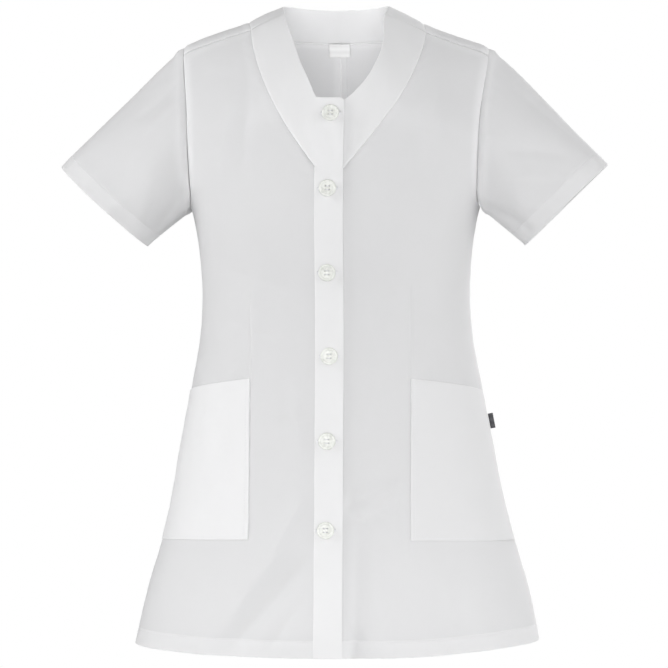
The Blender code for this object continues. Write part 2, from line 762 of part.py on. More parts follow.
def make_neck_bands(material):
    for side, name in ((-1, "neck_band_right"), (1, "neck_band_left")):
        lift = under_lap if side == 1 else beside_strip
        seam, normals = seam_points(neck_seam_pairs(side), side, lift)
        edge = front_edge_points(side, lift)
        if side == -1:
            beside = [level_pair(PLACKET_HALF + SEAM_GAP, z) for z in (PLACKET_SEAM_Z, V_BOTTOM_Z)]
            points, ways = seam_points(beside, side, lift)
            seam, normals, edge = [points[0], *seam[3:]], [ways[0], *normals[3:]], [points[1], *edge[3:]]
        band_between(name, seam, normals, edge, material, ("top",))
    seam, normals, edge = [], [], []
    for side in (-1, 1):
        half_seam, half_normals = seam_points(back_neck_pairs(side), side)
        half_edge = [Vector((side * r["edge_x"], r["edge_y"], r["edge_z"])) for r in BACK_NECK]
        half_edge.append(front_edge_points(side, no_lift)[-1])
        if side == -1:
            half_seam.reverse()
            half_normals.reverse()
            half_edge.reverse()
        else:
            half_seam, half_normals, half_edge = half_seam[1:], half_normals[1:], half_edge[1:]
        seam += half_seam
        normals += half_normals
        edge += half_edge
    band_between("neck_band_back", seam, normals, edge, material, ("bottom", "top"))


def on_panel(outer, inner, column, z):
    """A point of a front's flat faces, and the way out from it, where its rows are level."""
    heights = outer[:LOWER_ROWS, 0, 2]
    i = min(max(int(np.searchsorted(heights, z)) - 1, 0), LOWER_ROWS - 2)
    j = min(int(column), outer.shape[1] - 2)
    up, on = (z - heights[i]) / (heights[i + 1] - heights[i]), column - j

    def read(grid):
        return mix(mix(grid[i, j], grid[i, j + 1], on), mix(grid[i + 1, j], grid[i + 1, j + 1], on), up)

    return read(outer), read(outer - inner) / WALL


def make_placket(panel_outer, panel_inner, material):
    """The strip that the buttons pass through, on the wearer's right front."""
    outer, inner = [], []
    for z in panel_outer[:LOWER_ROWS, 0, 2]:
        places = [on_panel(panel_outer, panel_inner, c, z) for c in (0.0, 0.33, 0.67, 1.0)]
        outer.append([point + out * LAYER_STEP for point, out in places])
        inner.append([point + out * SEAM_GAP for point, out in places])
    for k in range(1, 5):
        z = mix(ARMPIT_Z, V_BOTTOM_Z, k / 4)
        params = [[level_pair(x * PLACKET_HALF, z) for x in (-1, -1 / 3, 1 / 3, 1)]]
        skins = skins_of(params, -1, lambda x, z: LAYER_STEP + BAND_EASE)
        outer.append(skins[0][0])
        inner.append(skins[1][0])
    wall_between("placket", np.array(outer), np.array(inner), material)
    return np.array(outer)


def on_strip(strip, x, z):
    """A point of the placket's flat faces and the way out from it."""
    i = min(max(int(np.searchsorted(strip[:, 0, 2], z)) - 1, 0), len(strip) - 2)
    up = (z - strip[i, 0, 2]) / (strip[i + 1, 0, 2] - strip[i, 0, 2])
    row = mix(strip[i], strip[i + 1], up)[::-1]
    point = [float(np.interp(x, row[:, 0], row[:, axis])) for axis in range(3)]
    out = Vector(row[-1] - row[0]).cross(Vector(strip[i + 1, 0] - strip[i, 0]))
    return Vector(point), out.normalized()


def make_pocket(name, panel_outer, panel_inner, material):
    """A patch pocket on the front's own points, its mouth standing off a little."""
    first, last = 1 + DART_COLUMNS, DART_COLUMNS + SIDE_COLUMNS + POCKET_SIDE_SHARE
    columns = [*range(first, int(last) + 1), last]
    spans = [(c - first) / (last - first) for c in columns]
    bottoms = [mix(POCKET_BOTTOM["inner"], POCKET_BOTTOM["outer"], s) for s in spans]
    tops = [mix(POCKET_TOP["inner"], POCKET_TOP["outer"], s) for s in spans]
    levels = panel_outer[:LOWER_ROWS, 0, 2]
    between = [z for z in levels if max(bottoms) + 0.5 * MM < z < min(tops) - 0.5 * MM]
    outer, inner = [], []
    for heights in (bottoms, *([z] * len(columns) for z in between), tops):
        outer.append([])
        inner.append([])
        for column, span, z in zip(columns, spans, heights):
            point, out = on_panel(panel_outer, panel_inner, column, z)
            open_by = ease((z - POCKET_TOP["outer"]) / 0.07 + 1) * math.sin(math.pi * span)
            lift = SEAM_GAP + POCKET_MOUTH_LIFT * open_by
            inner[-1].append(point + out * lift)
            outer[-1].append(point + out * (lift + WALL))
    wall_between(name, np.array(outer), np.array(inner), material)


# ---------------------------------------------------------------- buttons and labels


def make_buttons(strip, material):
    """Four-hole buttons with a raised rim, all from one mesh."""
    r, t = BUTTON_RADIUS, BUTTON_THICK
    bpy.ops.mesh.primitive_cylinder_add(vertices=BUTTON_SIDES, radius=r, depth=t)
    blank = bpy.context.object
    bm = bmesh.new()
    bm.from_mesh(blank.data)
    face = max(bm.faces, key=lambda f: f.calc_center_median().z)
    bmesh.ops.inset_region(bm, faces=[face], thickness=0.22 * r)
    bmesh.ops.inset_region(bm, faces=[face], thickness=0.10 * r)
    bmesh.ops.translate(bm, verts=face.verts, vec=(0, 0, -0.35 * t))
    bm.to_mesh(blank.data)
    bm.free()
    mesh = cut_holes(blank)
    for number, place in enumerate(BUTTONS, 1):
        point, normal = on_strip(strip, place["x"], place["z"])
        piece = bpy.data.objects.new(f"button_{number}", mesh)
        PARTS.objects.link(piece)
        turn = Vector((0, 0, 1)).rotation_difference(normal)
        piece.location = settled(point + normal * (t / 2 + BUTTON_GAP))
        piece.rotation_euler = turn.to_euler()
    mesh.materials.append(material)
    mesh.shade_smooth()
    mesh.set_sharp_from_angle(angle=math.radians(30))


def cut_holes(blank):
    """The blank's mesh with four thread holes cut through it."""
    half = BUTTON_HOLE_APART
    for kx, ky in ((-1, -1), (-1, 1), (1, -1), (1, 1)):
        bpy.ops.mesh.primitive_cylinder_add(
            vertices=6,
            radius=BUTTON_HOLE_RADIUS,
            depth=4 * BUTTON_THICK,
            location=(kx * half, ky * half, 0),
        )
        drill = bpy.context.object
        cut = blank.modifiers.new("hole", "BOOLEAN")
        cut.operation = "DIFFERENCE"
        cut.object = drill
        drill.hide_render = True
    bpy.context.view_layer.update()
    graph = bpy.context.evaluated_depsgraph_get()
    mesh = bpy.data.meshes.new_from_object(blank.evaluated_get(graph))
    mesh.name = "button"
    for helper in [cut.object for cut in blank.modifiers] + [blank]:
        bpy.data.objects.remove(helper)
    return mesh


def make_label(material):
    """Blank label on the inside of the back neck, hanging from the band's seam."""
    outer, inner = [], []
    for i in range(5):
        z = mix(LABEL_BOTTOM_Z, LABEL_TOP_Z, i / 4)
        outer.append([])
        inner.append([])
        for x in np.linspace(LABEL_X - LABEL_WIDTH / 2, LABEL_X + LABEL_WIDTH / 2, 4):
            place = form_point(angle_at(abs(x), z), -fall_at(abs(x), z), 1 if x > 0 else -1)
            depth = place.y - WALL - SEAM_GAP - TURNING_STEP - LABEL_HANG
            outer[-1].append(Vector((x, depth, z)))
            inner[-1].append(Vector((x, depth - 0.8 * MM, z)))
    wall_between("size_label", to_array(outer), to_array(inner), material)


def make_turning(panel_outer, panel_inner, material):
    """The centre back seam's turning, pressed to one side: it shows inside the neck."""
    rows = len(panel_inner) - len(BACK_NECK)
    start = panel_inner[:rows, :1]
    step = panel_inner[:rows, 1:2] - start
    share = TURNING_WIDTH / np.linalg.norm(step, axis=2, keepdims=True)
    inward = (panel_inner - panel_outer)[:rows, :1] / WALL
    strip = np.concatenate([start, start + step * share], axis=1) + inward * SEAM_GAP
    strip[-1] += (strip[-2] - strip[-1]) * 0.1
    wall_between("back_seam_turning", strip, strip + inward * TURNING_THICK, material)


def make_tab(material):
    """Blank folded tab, caught in the wearer's left side seam beside the pocket."""
    bpy.ops.mesh.primitive_cube_add(size=1.0)
    tab = bpy.context.object
    tab.name = "side_tab"
    move_to_parts(tab)
    tab.scale = (TAB_REACH, TAB_THICK, TAB_HEIGHT)
    bpy.ops.object.transform_apply(location=False, rotation=False, scale=True)
    side_x = section("half_width", TAB_Z)
    tab.location = settled(Vector((side_x + TAB_REACH / 2 + SEAM_GAP, 0.0, TAB_Z)))
    tab.rotation_euler = (0, -math.radians(TAB_LEAN), 0)
    bevel = tab.modifiers.new("soft edges", "BEVEL")
    bevel.width = 0.3 * MM
    bevel.segments = 1
    tab.data.materials.append(material)


def move_to_parts(piece):
    for home in list(piece.users_collection):
        home.objects.unlink(piece)
    PARTS.objects.link(piece)


def make_material(name, colour, rough):
    material = bpy.data.materials.new(name)
    material.use_nodes = True
    shader = material.node_tree.nodes["Principled BSDF"]
    shader.inputs["Base Color"].default_value = (*colour, 1.0)
    shader.inputs["Roughness"].default_value = rough
    shader.inputs["Metallic"].default_value = 0.0
    return material



for old in list(bpy.data.objects):
    bpy.data.objects.remove(old)
PARTS = bpy.data.collections.new("work_tunic")
bpy.context.scene.collection.children.link(PARTS)
looks = {name: make_material(name, **values) for name, values in MATERIALS.items()}
button_strip = make_fronts(looks["cloth"])
make_backs(looks["cloth"], looks["cloth"])
make_sleeves(looks["cloth"])
make_neck_bands(looks["cloth"])
make_label(looks["label"])
make_tab(looks["tab"])
make_buttons(button_strip, looks["button"])
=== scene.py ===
"""Looks of a short-sleeved white work tunic: cut cloth, sewing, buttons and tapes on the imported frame.

Metres, +Z up. The front faces -Y and the wearer's left is +X. The cloth is drawn on one form: a point
has an angle round the body (0 at the middle, 90 at the side) and a fall (0 on top of the shoulder,
growing down the front, negative down the back). Each cut piece is a grid of such points.
"""

import logging
import math
import random
from collections.abc import Callable, Sequence
from dataclasses import dataclass, field, replace
from enum import Enum

import bmesh
import bpy
import numpy as np
from mathutils import Matrix, Vector


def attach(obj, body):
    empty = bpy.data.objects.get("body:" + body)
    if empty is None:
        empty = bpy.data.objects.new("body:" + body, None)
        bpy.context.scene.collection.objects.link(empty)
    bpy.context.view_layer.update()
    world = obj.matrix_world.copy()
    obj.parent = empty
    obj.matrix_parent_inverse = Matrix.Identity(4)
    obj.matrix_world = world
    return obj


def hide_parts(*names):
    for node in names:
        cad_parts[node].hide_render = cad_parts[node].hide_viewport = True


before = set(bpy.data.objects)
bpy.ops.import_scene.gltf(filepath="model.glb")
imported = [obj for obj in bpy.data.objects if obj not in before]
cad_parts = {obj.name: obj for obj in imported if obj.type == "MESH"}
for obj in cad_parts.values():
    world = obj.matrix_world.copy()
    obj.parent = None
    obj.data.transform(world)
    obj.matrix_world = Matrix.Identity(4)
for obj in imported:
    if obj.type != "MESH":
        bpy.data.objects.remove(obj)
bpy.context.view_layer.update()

LOG = logging.getLogger("tunic")

Grid = np.ndarray
Pairs = np.ndarray
Place = tuple[float, float, float]
Socket = bpy.types.NodeSocket
Material = bpy.types.Material
Tree = bpy.types.NodeTree
Mesh = bpy.types.Mesh
Piece = bpy.types.Object
Draft = bmesh.types.BMesh
MM = 0.001

# One layer of the cloth, and the air between layers that are pressed together
CLOTH_THICK = 0.45 * MM
LAYER_AIR = 0.15 * MM
LAYER_STEP = 1.25 * MM
SEAM_GAP = 0.15 * MM
CELL = 4 * MM

# The narrowest strip that a cutter counts as a piece of its own, and how near two points are one
LEAST_CUT = 10 * MM
SAME_PLACE = 0.001 * MM


class Face(Enum):
    """Front or back of the tunic."""

    FRONT = "front"
    BACK = "back"


class Side(Enum):
    """The wearer's right or left, as the sign of X."""

    RIGHT = -1
    LEFT = 1

    @property
    def word(self) -> str:
        """The word used in piece names."""
        return self.name.lower()


# ---- small curves and tables


def ease(t: Grid | float) -> Grid:
    """0 to 1 with level ends."""
    t = np.clip(t, 0.0, 1.0)
    return t * t * (3 - 2 * t)


def mix(a: Grid | float, b: Grid | float, t: Grid | float) -> Grid:
    """The value a share t of the way from a to b."""
    return a + (b - a) * t


def smooth_read(keys: Grid, values: Grid, at: Grid) -> Grid:
    """Reads values on a smooth curve through rows.

    Args:
        keys: Growing key of each row.
        values: Value of each row, or one column of values a row.
        at: Keys to read at.

    Returns:
        A row of values for each key.
    """
    at = np.clip(at, keys[0], keys[-1])
    i = np.clip(np.searchsorted(keys, at) - 1, 0, len(keys) - 2)
    flat = values.ndim == 1
    table = values[:, None] if flat else values
    slopes = np.empty_like(table)
    slopes[1:-1] = (table[2:] - table[:-2]) / (keys[2:] - keys[:-2])[:, None]
    slopes[0] = (table[1] - table[0]) / (keys[1] - keys[0])
    slopes[-1] = (table[-1] - table[-2]) / (keys[-1] - keys[-2])
    step = (keys[i + 1] - keys[i])[..., None]
    t = (at - keys[i])[..., None] / step
    found = (
        table[i] * (2 * t**3 - 3 * t**2 + 1)
        + slopes[i] * step * (t**3 - 2 * t**2 + t)
        + table[i + 1] * (3 * t**2 - 2 * t**3)
        + slopes[i + 1] * step * (t**3 - t**2)
    )
    return found[..., 0] if flat else found


@dataclass(frozen=True)
class SmoothTable:
    """Rows with named columns, read on smooth curves through the rows by the first column."""

    names: str
    rows: tuple[tuple[float, ...], ...]

    def column(self, name: str) -> Grid:
        """One column as an array."""
        return np.array([row[self.names.split().index(name)] for row in self.rows])

    def read(self, name: str, at: Grid) -> Grid:
        """A column's values at the given keys."""
        key = self.column(self.names.split()[0])
        return smooth_read(key, self.column(name), np.asarray(at, float))


def rows_of(kind: type, *rows: tuple[float, ...]) -> tuple:
    """Records from rows of their values in order.

    Args:
        kind: The record's class.
        rows: Up to seven lengths in millimetres each, and then plain numbers.

    Returns:
        One record for each row, in metres.
    """
    return tuple(kind(*(length * MM for length in row[:7]), *row[7:]) for row in rows)


def path_through(points: Grid, at: Grid) -> Grid:
    """Points on a smooth line through the rows of an array, by row number."""
    return smooth_read(np.arange(len(points), dtype=float), points, np.asarray(at, float))


def spaced(start: float, end: float, step: float, extra: Sequence[float] = ()) -> Grid:
    """Even places from start to end, with extra ones in place of those that are near them.

    Args:
        start: First place.
        end: Last place.
        step: Distance between places, which is rounded to fit.
        extra: More places between the two.

    Returns:
        Growing places.
    """
    too_near = 0.4 * step
    even = np.linspace(start, end, max(int(round((end - start) / step)), 1) + 1)
    extra = np.array([e for e in extra if start < e < end])
    inner = [p for p in even[1:-1] if not len(extra) or np.min(np.abs(extra - p)) > too_near]
    return np.unique(np.concatenate([[start, end], inner, extra]))


def bell(away: Grid, wide: float, power: int = 2) -> Grid:
    """1 at no distance, falling smoothly to 0 past a width, with a flatter top at a higher power."""
    return np.exp(-((away / wide) ** power))


def reach_of(line: Grid) -> Grid:
    """Distances along a line of points from its first one."""
    return np.cumsum([0.0, *np.linalg.norm(np.diff(line, axis=0), axis=1)])


def unit(vectors: Grid) -> Grid:
    """The same directions with length 1."""
    return vectors / np.maximum(np.linalg.norm(vectors, axis=-1, keepdims=True), 1e-12)


# ---- folds and ripples


@dataclass(frozen=True)
class Fold:
    """A trough along a line of the cloth, fairly sharp, or a ridge where its depth is negative.

    bow bends the line sideways at its middle, and lean makes one flank steeper than the other.
    """

    x0: float
    z0: float
    x1: float
    z1: float
    width: float
    depth: float
    bow: float = 0.0
    lean: float = 0.0
    runs_on: float = 1.35

    def push(self, x: Grid, z: Grid) -> Grid:
        """How far the fold pushes the cloth in.

        Args:
            x: Distance across the cloth at each place.
            z: Height, or distance down, at each place.

        Returns:
            The push, which fades in along the line's first half and out past its end.
        """
        line_x, line_z = self.x1 - self.x0, self.z1 - self.z0
        length = math.hypot(line_x, line_z)
        along = ((x - self.x0) * line_x + (z - self.z0) * line_z) / length**2
        away = ((x - self.x0) * line_z - (z - self.z0) * line_x) / length
        on_line = np.clip(along, 0, 1)
        away = away - self.bow * 4 * on_line * (1 - on_line)
        width = self.width * (1 + self.lean * np.sign(away))
        fade = np.where(along < 0.5, ease(along / 0.5), ease((self.runs_on - along) / 0.5))
        return self.depth * fade * np.exp(1 - np.sqrt(1 + (2 * away / width) ** 2))


@dataclass(frozen=True)
class Ripple:
    """The slight unevenness of hanging cloth: waves of many lengths and directions, from a seed."""

    seed: int
    shortest: float
    longest: float
    depth: float
    count: int = 16

    def push(self, places: Grid) -> Grid:
        """How far the ripple pushes the cloth in at each place of a last axis of coordinates.

        Args:
            places: Coordinates on the last axis, of any number.

        Returns:
            The push at each place.
        """
        draw = random.Random(self.seed)
        total = np.zeros(places.shape[:-1])
        for _ in range(self.count):
            length = draw.uniform(self.shortest, self.longest)
            way = np.array([draw.gauss(0, 1) for _ in range(places.shape[-1])])
            way *= math.tau / length / np.linalg.norm(way)
            total += length / self.longest * np.sin(places @ way + draw.uniform(0, math.tau))
        return self.depth * total / math.sqrt(self.count / 2)


@dataclass(frozen=True)
class SeamRelief:
    """How cloth lies along a seam: a narrow dip, a soft roll over its turnings, and puckers."""

    dip: float = 0.7 * MM
    dip_width: float = 1.6 * MM
    roll: float = 0.35 * MM
    roll_at: float = 7 * MM
    roll_width: float = 5 * MM
    pucker: float = 0.22 * MM
    pucker_reach: float = 14 * MM
    pucker_from: float = 2 * MM
    shortest: float = 9 * MM
    longest: float = 30 * MM
    waves: int = 9
    seed: int = 1

    def push(self, away: Grid, run: Grid) -> Grid:
        """How far the cloth is pushed in.

        Args:
            away: Distance from the seam at each place.
            run: Distance along the seam at each place.

        Returns:
            The push, negative where the cloth stands proud.
        """
        dip = self.dip * bell(away, self.dip_width)
        roll = self.roll * bell(away - self.roll_at, self.roll_width)
        ripple = Ripple(self.seed, self.shortest, self.longest, self.pucker, self.waves)
        near = np.exp(-away / self.pucker_reach) * (1 - bell(away, self.pucker_from))
        wave = ripple.push(run[..., None])
        return dip - roll + wave * near


BODY_RIPPLES = (
    Ripple(seed=11, shortest=70 * MM, longest=190 * MM, depth=0.55 * MM),
    Ripple(seed=12, shortest=22 * MM, longest=60 * MM, depth=0.12 * MM),
)

# Folds of the front: the solids' own, sharper, and then finer ones. A row has a fold's values in order
FRONT_FOLDS = rows_of(
    Fold,
    (-8, -632, -105, -745, 17, 7.5, 0, 0.2), (-16, -609, -119, -728, 13, -5, 8),
    (-22, -572, -64, -639, 9, -4.2), (-24, -688, -66, -752, 9, 2.8, 0, 0.2),
    (95, -552, 24, -588, 10, 5.5, -3), (72, -590, 38, -607, 10, -4.5), (36, -580, 34, -780, 16, 5.5, 0, -0.5),
    (31, -722, 29, -764, 7, 6), (-184, -640, -190, -780, 14, 4), (196, -660, 208, -780, 14, 3.5),
    (130, -650, 152, -780, 20, 5), (-40, -440, -36, -530, 9, -1.8), (-64, -486, -18, -498, 6, 1.6, 0, 0.3),
    (-112, -428, -100, -446, 8, 2.8), (106, -424, 114, -446, 8, 2.8), (-86, -300, -91, -440, 10, -1.8),
    (70, -335, 52, -420, 14, 2.4, 4), (86, -555, 90, -640, 5, 1.4, 2), (122, -650, 126, -712, 7, -1.6),
    (-150, -300, -60, -335, 12, 1.8, 5), (150, -305, 70, -350, 12, 1.8, -5),
    (-150, -360, -70, -395, 10, 1.6, 3), (-150, -250, -118, -110, 16, -3.2, 8),
    (-112, -250, -98, -90, 13, 2.4, 6), (152, -250, 124, -110, 15, -2.6, -8),
    (110, -240, 104, -90, 14, 2, -5), (-153, -215, -151, -280, 6, 5), (165, -215, 162, -275, 6, 5),
    (55, -690, 75, -775, 10, -1.6), (-150, -655, -146, -770, 12, -1.9),
)
BACK_FOLDS = rows_of(
    Fold,
    (-90, -500, -130, -780, 20, 9), (-30, -560, -52, -780, 16, 6.5, 0, 0.2), (100, -520, 125, -780, 19, 8),
    (12, -350, -75, -410, 12, 4.2, 1), (20, -392, 86, -440, 11, 3), (-20, -300, 80, -335, 11, -2.4, -2),
    (40, -600, 55, -775, 11, -4, 4), (-85, -610, -94, -770, 12, -2.4, 0, 0.3),
    (-140, -320, -50, -345, 10, 2.6, 2), (135, -330, 45, -320, 9, 1.8, -1), (140, -400, 60, -440, 10, 2.4, 1),
    (-130, -425, -50, -465, 9, 2.8, -1), (-150, -240, -110, -100, 16, -3.2, 7),
    (152, -235, 116, -100, 15, -2.8, -7), (-100, -225, -70, -110, 14, 2.2, -5),
    (165, -640, 180, -770, 14, 2.8),
)

# Folds of the sleeves: x is the distance round from the underarm up the front, z the one down from
# the armhole
SLEEVE_FOLDS = {
    Side.RIGHT: rows_of(
        Fold,
        (58, -20, 30, 45, 12, 3.5), (70, 45, 82, 150, 12, -2.6, 3), (130, 0, 120, 50, 9, -2.2),
        (148, 0, 140, 60, 9, 2), (335, 0, 305, 140, 12, 3.4, -3), (280, 10, 262, 150, 14, -2.2),
    ),
    Side.LEFT: rows_of(
        Fold,
        (22, 0, 40, 80, 10, 3.6, 3), (52, 5, 105, 120, 9, -3), (74, 0, 125, 110, 10, 2.8),
        (160, 20, 165, 130, 12, 1.6, -3), (345, 0, 300, 140, 12, 3.8, -4), (290, 10, 270, 150, 13, -2.4),
    ),
}

# How far the front of each sleeve hangs forward above the armpit
SLEEVE_BELLIES = {Side.RIGHT: 15 * MM, Side.LEFT: 8 * MM}


# ---- the form


@dataclass(frozen=True)
class Settling:
    """A slight shift of the hanging cloth round one place of the front view."""

    x: float
    z: float
    wide: float
    tall: float
    dx: float
    dz: float


@dataclass(frozen=True)
class Form:
    """The shape that the worn tunic keeps, in the frame's metres."""

    sections: SmoothTable = SmoothTable("z half_width front back", (
        (-0.78, 0.2455, 0.141, 0.133), (-0.7, 0.2275, 0.134, 0.129), (-0.64, 0.2122, 0.128, 0.124),
        (-0.58, 0.1992, 0.123, 0.12), (-0.52, 0.1882, 0.118, 0.113), (-0.46, 0.176, 0.113, 0.101),
        (-0.4, 0.1648, 0.11, 0.089), (-0.355, 0.1608, 0.112, 0.084), (-0.31, 0.162, 0.119, 0.088),
        (-0.27, 0.1668, 0.125, 0.096), (-0.24, 0.1735, 0.125, 0.101), (-0.21, 0.186, 0.12, 0.104),
        (-0.17, 0.198, 0.111, 0.104), (-0.13, 0.204, 0.1, 0.101), (-0.09, 0.206, 0.091, 0.097),
        (-0.04, 0.206, 0.083, 0.089), (0.04, 0.206, 0.078, 0.08),
    ))
    shoulder: SmoothTable = SmoothTable("x top", (
        (0.0, 0.039), (0.0635, 0.0), (0.1, -0.0175), (0.143, -0.0325), (0.171, -0.042), (0.181, -0.047),
        (0.206, -0.064),
    ))
    roundness: float = 2.2
    shoulder_depth: float = 0.12
    front_turn: float = 1.5
    back_turn: float = 2.0
    level_top: float = -0.02
    level_from: float = 1.0
    level_to: float = 3.2
    fall_ease: float = 0.2
    strip_half: float = 16.5 * MM
    stiff_beside: float = 9 * MM
    slope_step: float = 0.02
    slope_turn: float = 0.8
    last_angle: float = 89.9
    level_angle: float = 89.0
    most_fall: float = 8.0
    halvings: int = 40
    first_x: float = 0.1
    rounds: int = 8
    settlings: tuple[Settling, ...] = rows_of(
        Settling,
        (245, -764, 100, 90, 0, 9), (-245, -764, 100, 90, 0, 2), (225, -690, 80, 90, 3, 0),
        (-200, -560, 80, 160, 3.2, 0), (-140, -40, 60, 80, 0, 3), (150, -40, 60, 80, 0, -2.5),
        (-300, -200, 80, 120, -6, 0), (300, -180, 80, 100, -3, 0),
    )

    def half_width(self, z: Grid) -> Grid:
        """Half the tunic's width at each height."""
        return self.sections.read("half_width", z)

    def drop_of(self, fall: Grid) -> Grid:
        """How far down a fall is, in shoulder depths. It starts slowly over the shoulder."""
        fall = np.abs(fall)
        return fall * np.sqrt(fall / (fall + self.fall_ease))

    def height_at(self, x: Grid, fall: Grid) -> Grid:
        """Height of a fall at a distance from the middle.

        Args:
            x: Distance from the middle plane.
            fall: The fall, of either sign.

        Returns:
            The height.
        """
        level = ease((np.abs(fall) - self.level_from) / (self.level_to - self.level_from))
        top = self.shoulder.read("top", np.abs(x))
        return mix(top, self.level_top, level) - self.shoulder_depth * self.drop_of(fall)

    def fall_at(self, x: Grid, z: Grid) -> Grid:
        """The fall, without its sign, at which the form has height z.

        Args:
            x: Distance from the middle plane.
            z: Height.

        Returns:
            The fall, found by halving.
        """
        x, z = np.broadcast_arrays(np.asarray(x, float), np.asarray(z, float))
        low, high = np.zeros(x.shape), np.full(x.shape, self.most_fall)
        for _ in range(self.halvings):
            middle = (low + high) / 2
            above = self.height_at(x, middle) > z
            low, high = np.where(above, middle, low), np.where(above, high, middle)
        return (low + high) / 2

    def across(self, angle: Grid, half_width: Grid) -> Grid:
        """Distance from the middle plane at an angle round the form."""
        s = np.sin(np.radians(angle))
        return half_width * np.sign(s) * np.abs(s) ** (2 / self.roundness)

    def angle_at(self, x: Grid, z: Grid) -> Grid:
        """The angle round the form at a distance from the middle plane."""
        u = np.minimum(np.abs(x) / self.half_width(z), 1.0)
        return np.sign(x) * np.degrees(np.arcsin(u ** (self.roundness / 2)))

    def level_pair(self, x: Grid, z: Grid, sign: int = 1) -> Pairs:
        """(angle, fall) of places by distance from the middle and height, sign -1 for the back."""
        x, z = np.broadcast_arrays(np.asarray(x, float), np.asarray(z, float))
        return np.stack([self.angle_at(x, z), sign * self.fall_at(x, z)], -1)

    def folds(self, face: Face, x: Grid, z: Grid) -> Grid:
        """How far the folds of one face push its cloth in. The buttoned layers stay flat.

        Args:
            face: Front or back.
            x: Distance from the middle plane, with its sign.
            z: Height.

        Returns:
            The push at each place.
        """
        rows = FRONT_FOLDS if face is Face.FRONT else BACK_FOLDS
        total = sum(fold.push(x, z) for fold in rows)
        if face is Face.FRONT:
            total = total * ease((np.abs(x) - self.strip_half) / self.stiff_beside)
        return total

    def point(self, pairs: Pairs, side: Side) -> Grid:
        """Points of the form.

        Args:
            pairs: (angle, fall) on the last axis.
            side: The wearer's side.

        Returns:
            Points, with X, Y and Z on the last axis.
        """
        angle, fall = pairs[..., 0], pairs[..., 1]
        z = self.height_at(np.full(fall.shape, self.first_x), fall)
        for _ in range(self.rounds):
            x = self.across(angle, self.half_width(z))
            z = self.height_at(x, fall)
        q = np.minimum(self.drop_of(fall), 1.0)
        front = fall > 0
        turn = np.where(front, self.front_turn, self.back_turn)
        rounding = (1 - (1 - q) ** turn) ** (1 / turn)
        world_x = side.value * x
        deep = (self.sections.read(face.value, z) - self.folds(face, world_x, z) for face in Face)
        full = np.where(front, *deep)
        level = np.maximum(np.cos(np.radians(angle)), 0.0) ** (2 / self.roundness)
        y = full * rounding * level
        return np.stack([world_x, np.where(front, -y, y), z], -1)

    def normal(self, pairs: Pairs, side: Side) -> Grid:
        """Outward directions of the form, from its slopes on either side of each point.

        Args:
            pairs: (angle, fall) on the last axis.
            side: The wearer's side.

        Returns:
            Directions of length 1.
        """
        angle, fall, step = pairs[..., 0], pairs[..., 1], self.slope_step
        turn, last = self.slope_turn, self.last_angle
        ahead, behind = np.minimum(angle + turn, last), np.minimum(angle, last - 2 * turn) - turn

        def at(a: Grid, f: Grid) -> Grid:
            """Points of the form at angles and falls."""
            return self.point(np.stack(np.broadcast_arrays(a, f), -1), side)

        round_it = at(ahead, fall) - at(behind, fall)
        near_top = np.abs(fall) < 2 * step
        below, above = (np.where(near_top, 2 * k, fall + k) for k in (step, -step))
        down = at(angle, below) - at(angle, above)
        normal = np.cross(down, round_it) * side.value
        normal[..., 1] = np.where(angle > self.level_angle, 0.0, normal[..., 1])
        return unit(normal)

    def skin(self, pairs: Pairs, side: Side, lift: Callable[[Grid], Grid] | float = 0.0) -> tuple[Grid, Grid]:
        """Cloth lying on the form.

        Args:
            pairs: (angle, fall) on the last axis.
            side: The wearer's side.
            lift: How far it stands off, or a function of the form's points.

        Returns:
            Points and their outward directions.
        """
        points, normals = self.point(pairs, side), self.normal(pairs, side)
        raised = lift(points) if callable(lift) else lift
        raised = raised - sum(ripple.push(points) for ripple in BODY_RIPPLES)
        return points + normals * np.asarray(raised)[..., None], normals

    def settled(self, points: Grid) -> Grid:
        """Where points of the even form come to rest in the hanging tunic.

        Args:
            points: Points with X, Y and Z on the last axis.

        Returns:
            The moved points.
        """
        moved = points.copy()
        for s in self.settlings:
            near = ((points[..., 0] - s.x) / s.wide) ** 2 + ((points[..., 2] - s.z) / s.tall) ** 2
            moved[..., 0] += s.dx * np.exp(-near)
            moved[..., 2] += s.dz * np.exp(-near)
        return moved


# ---- cut lines


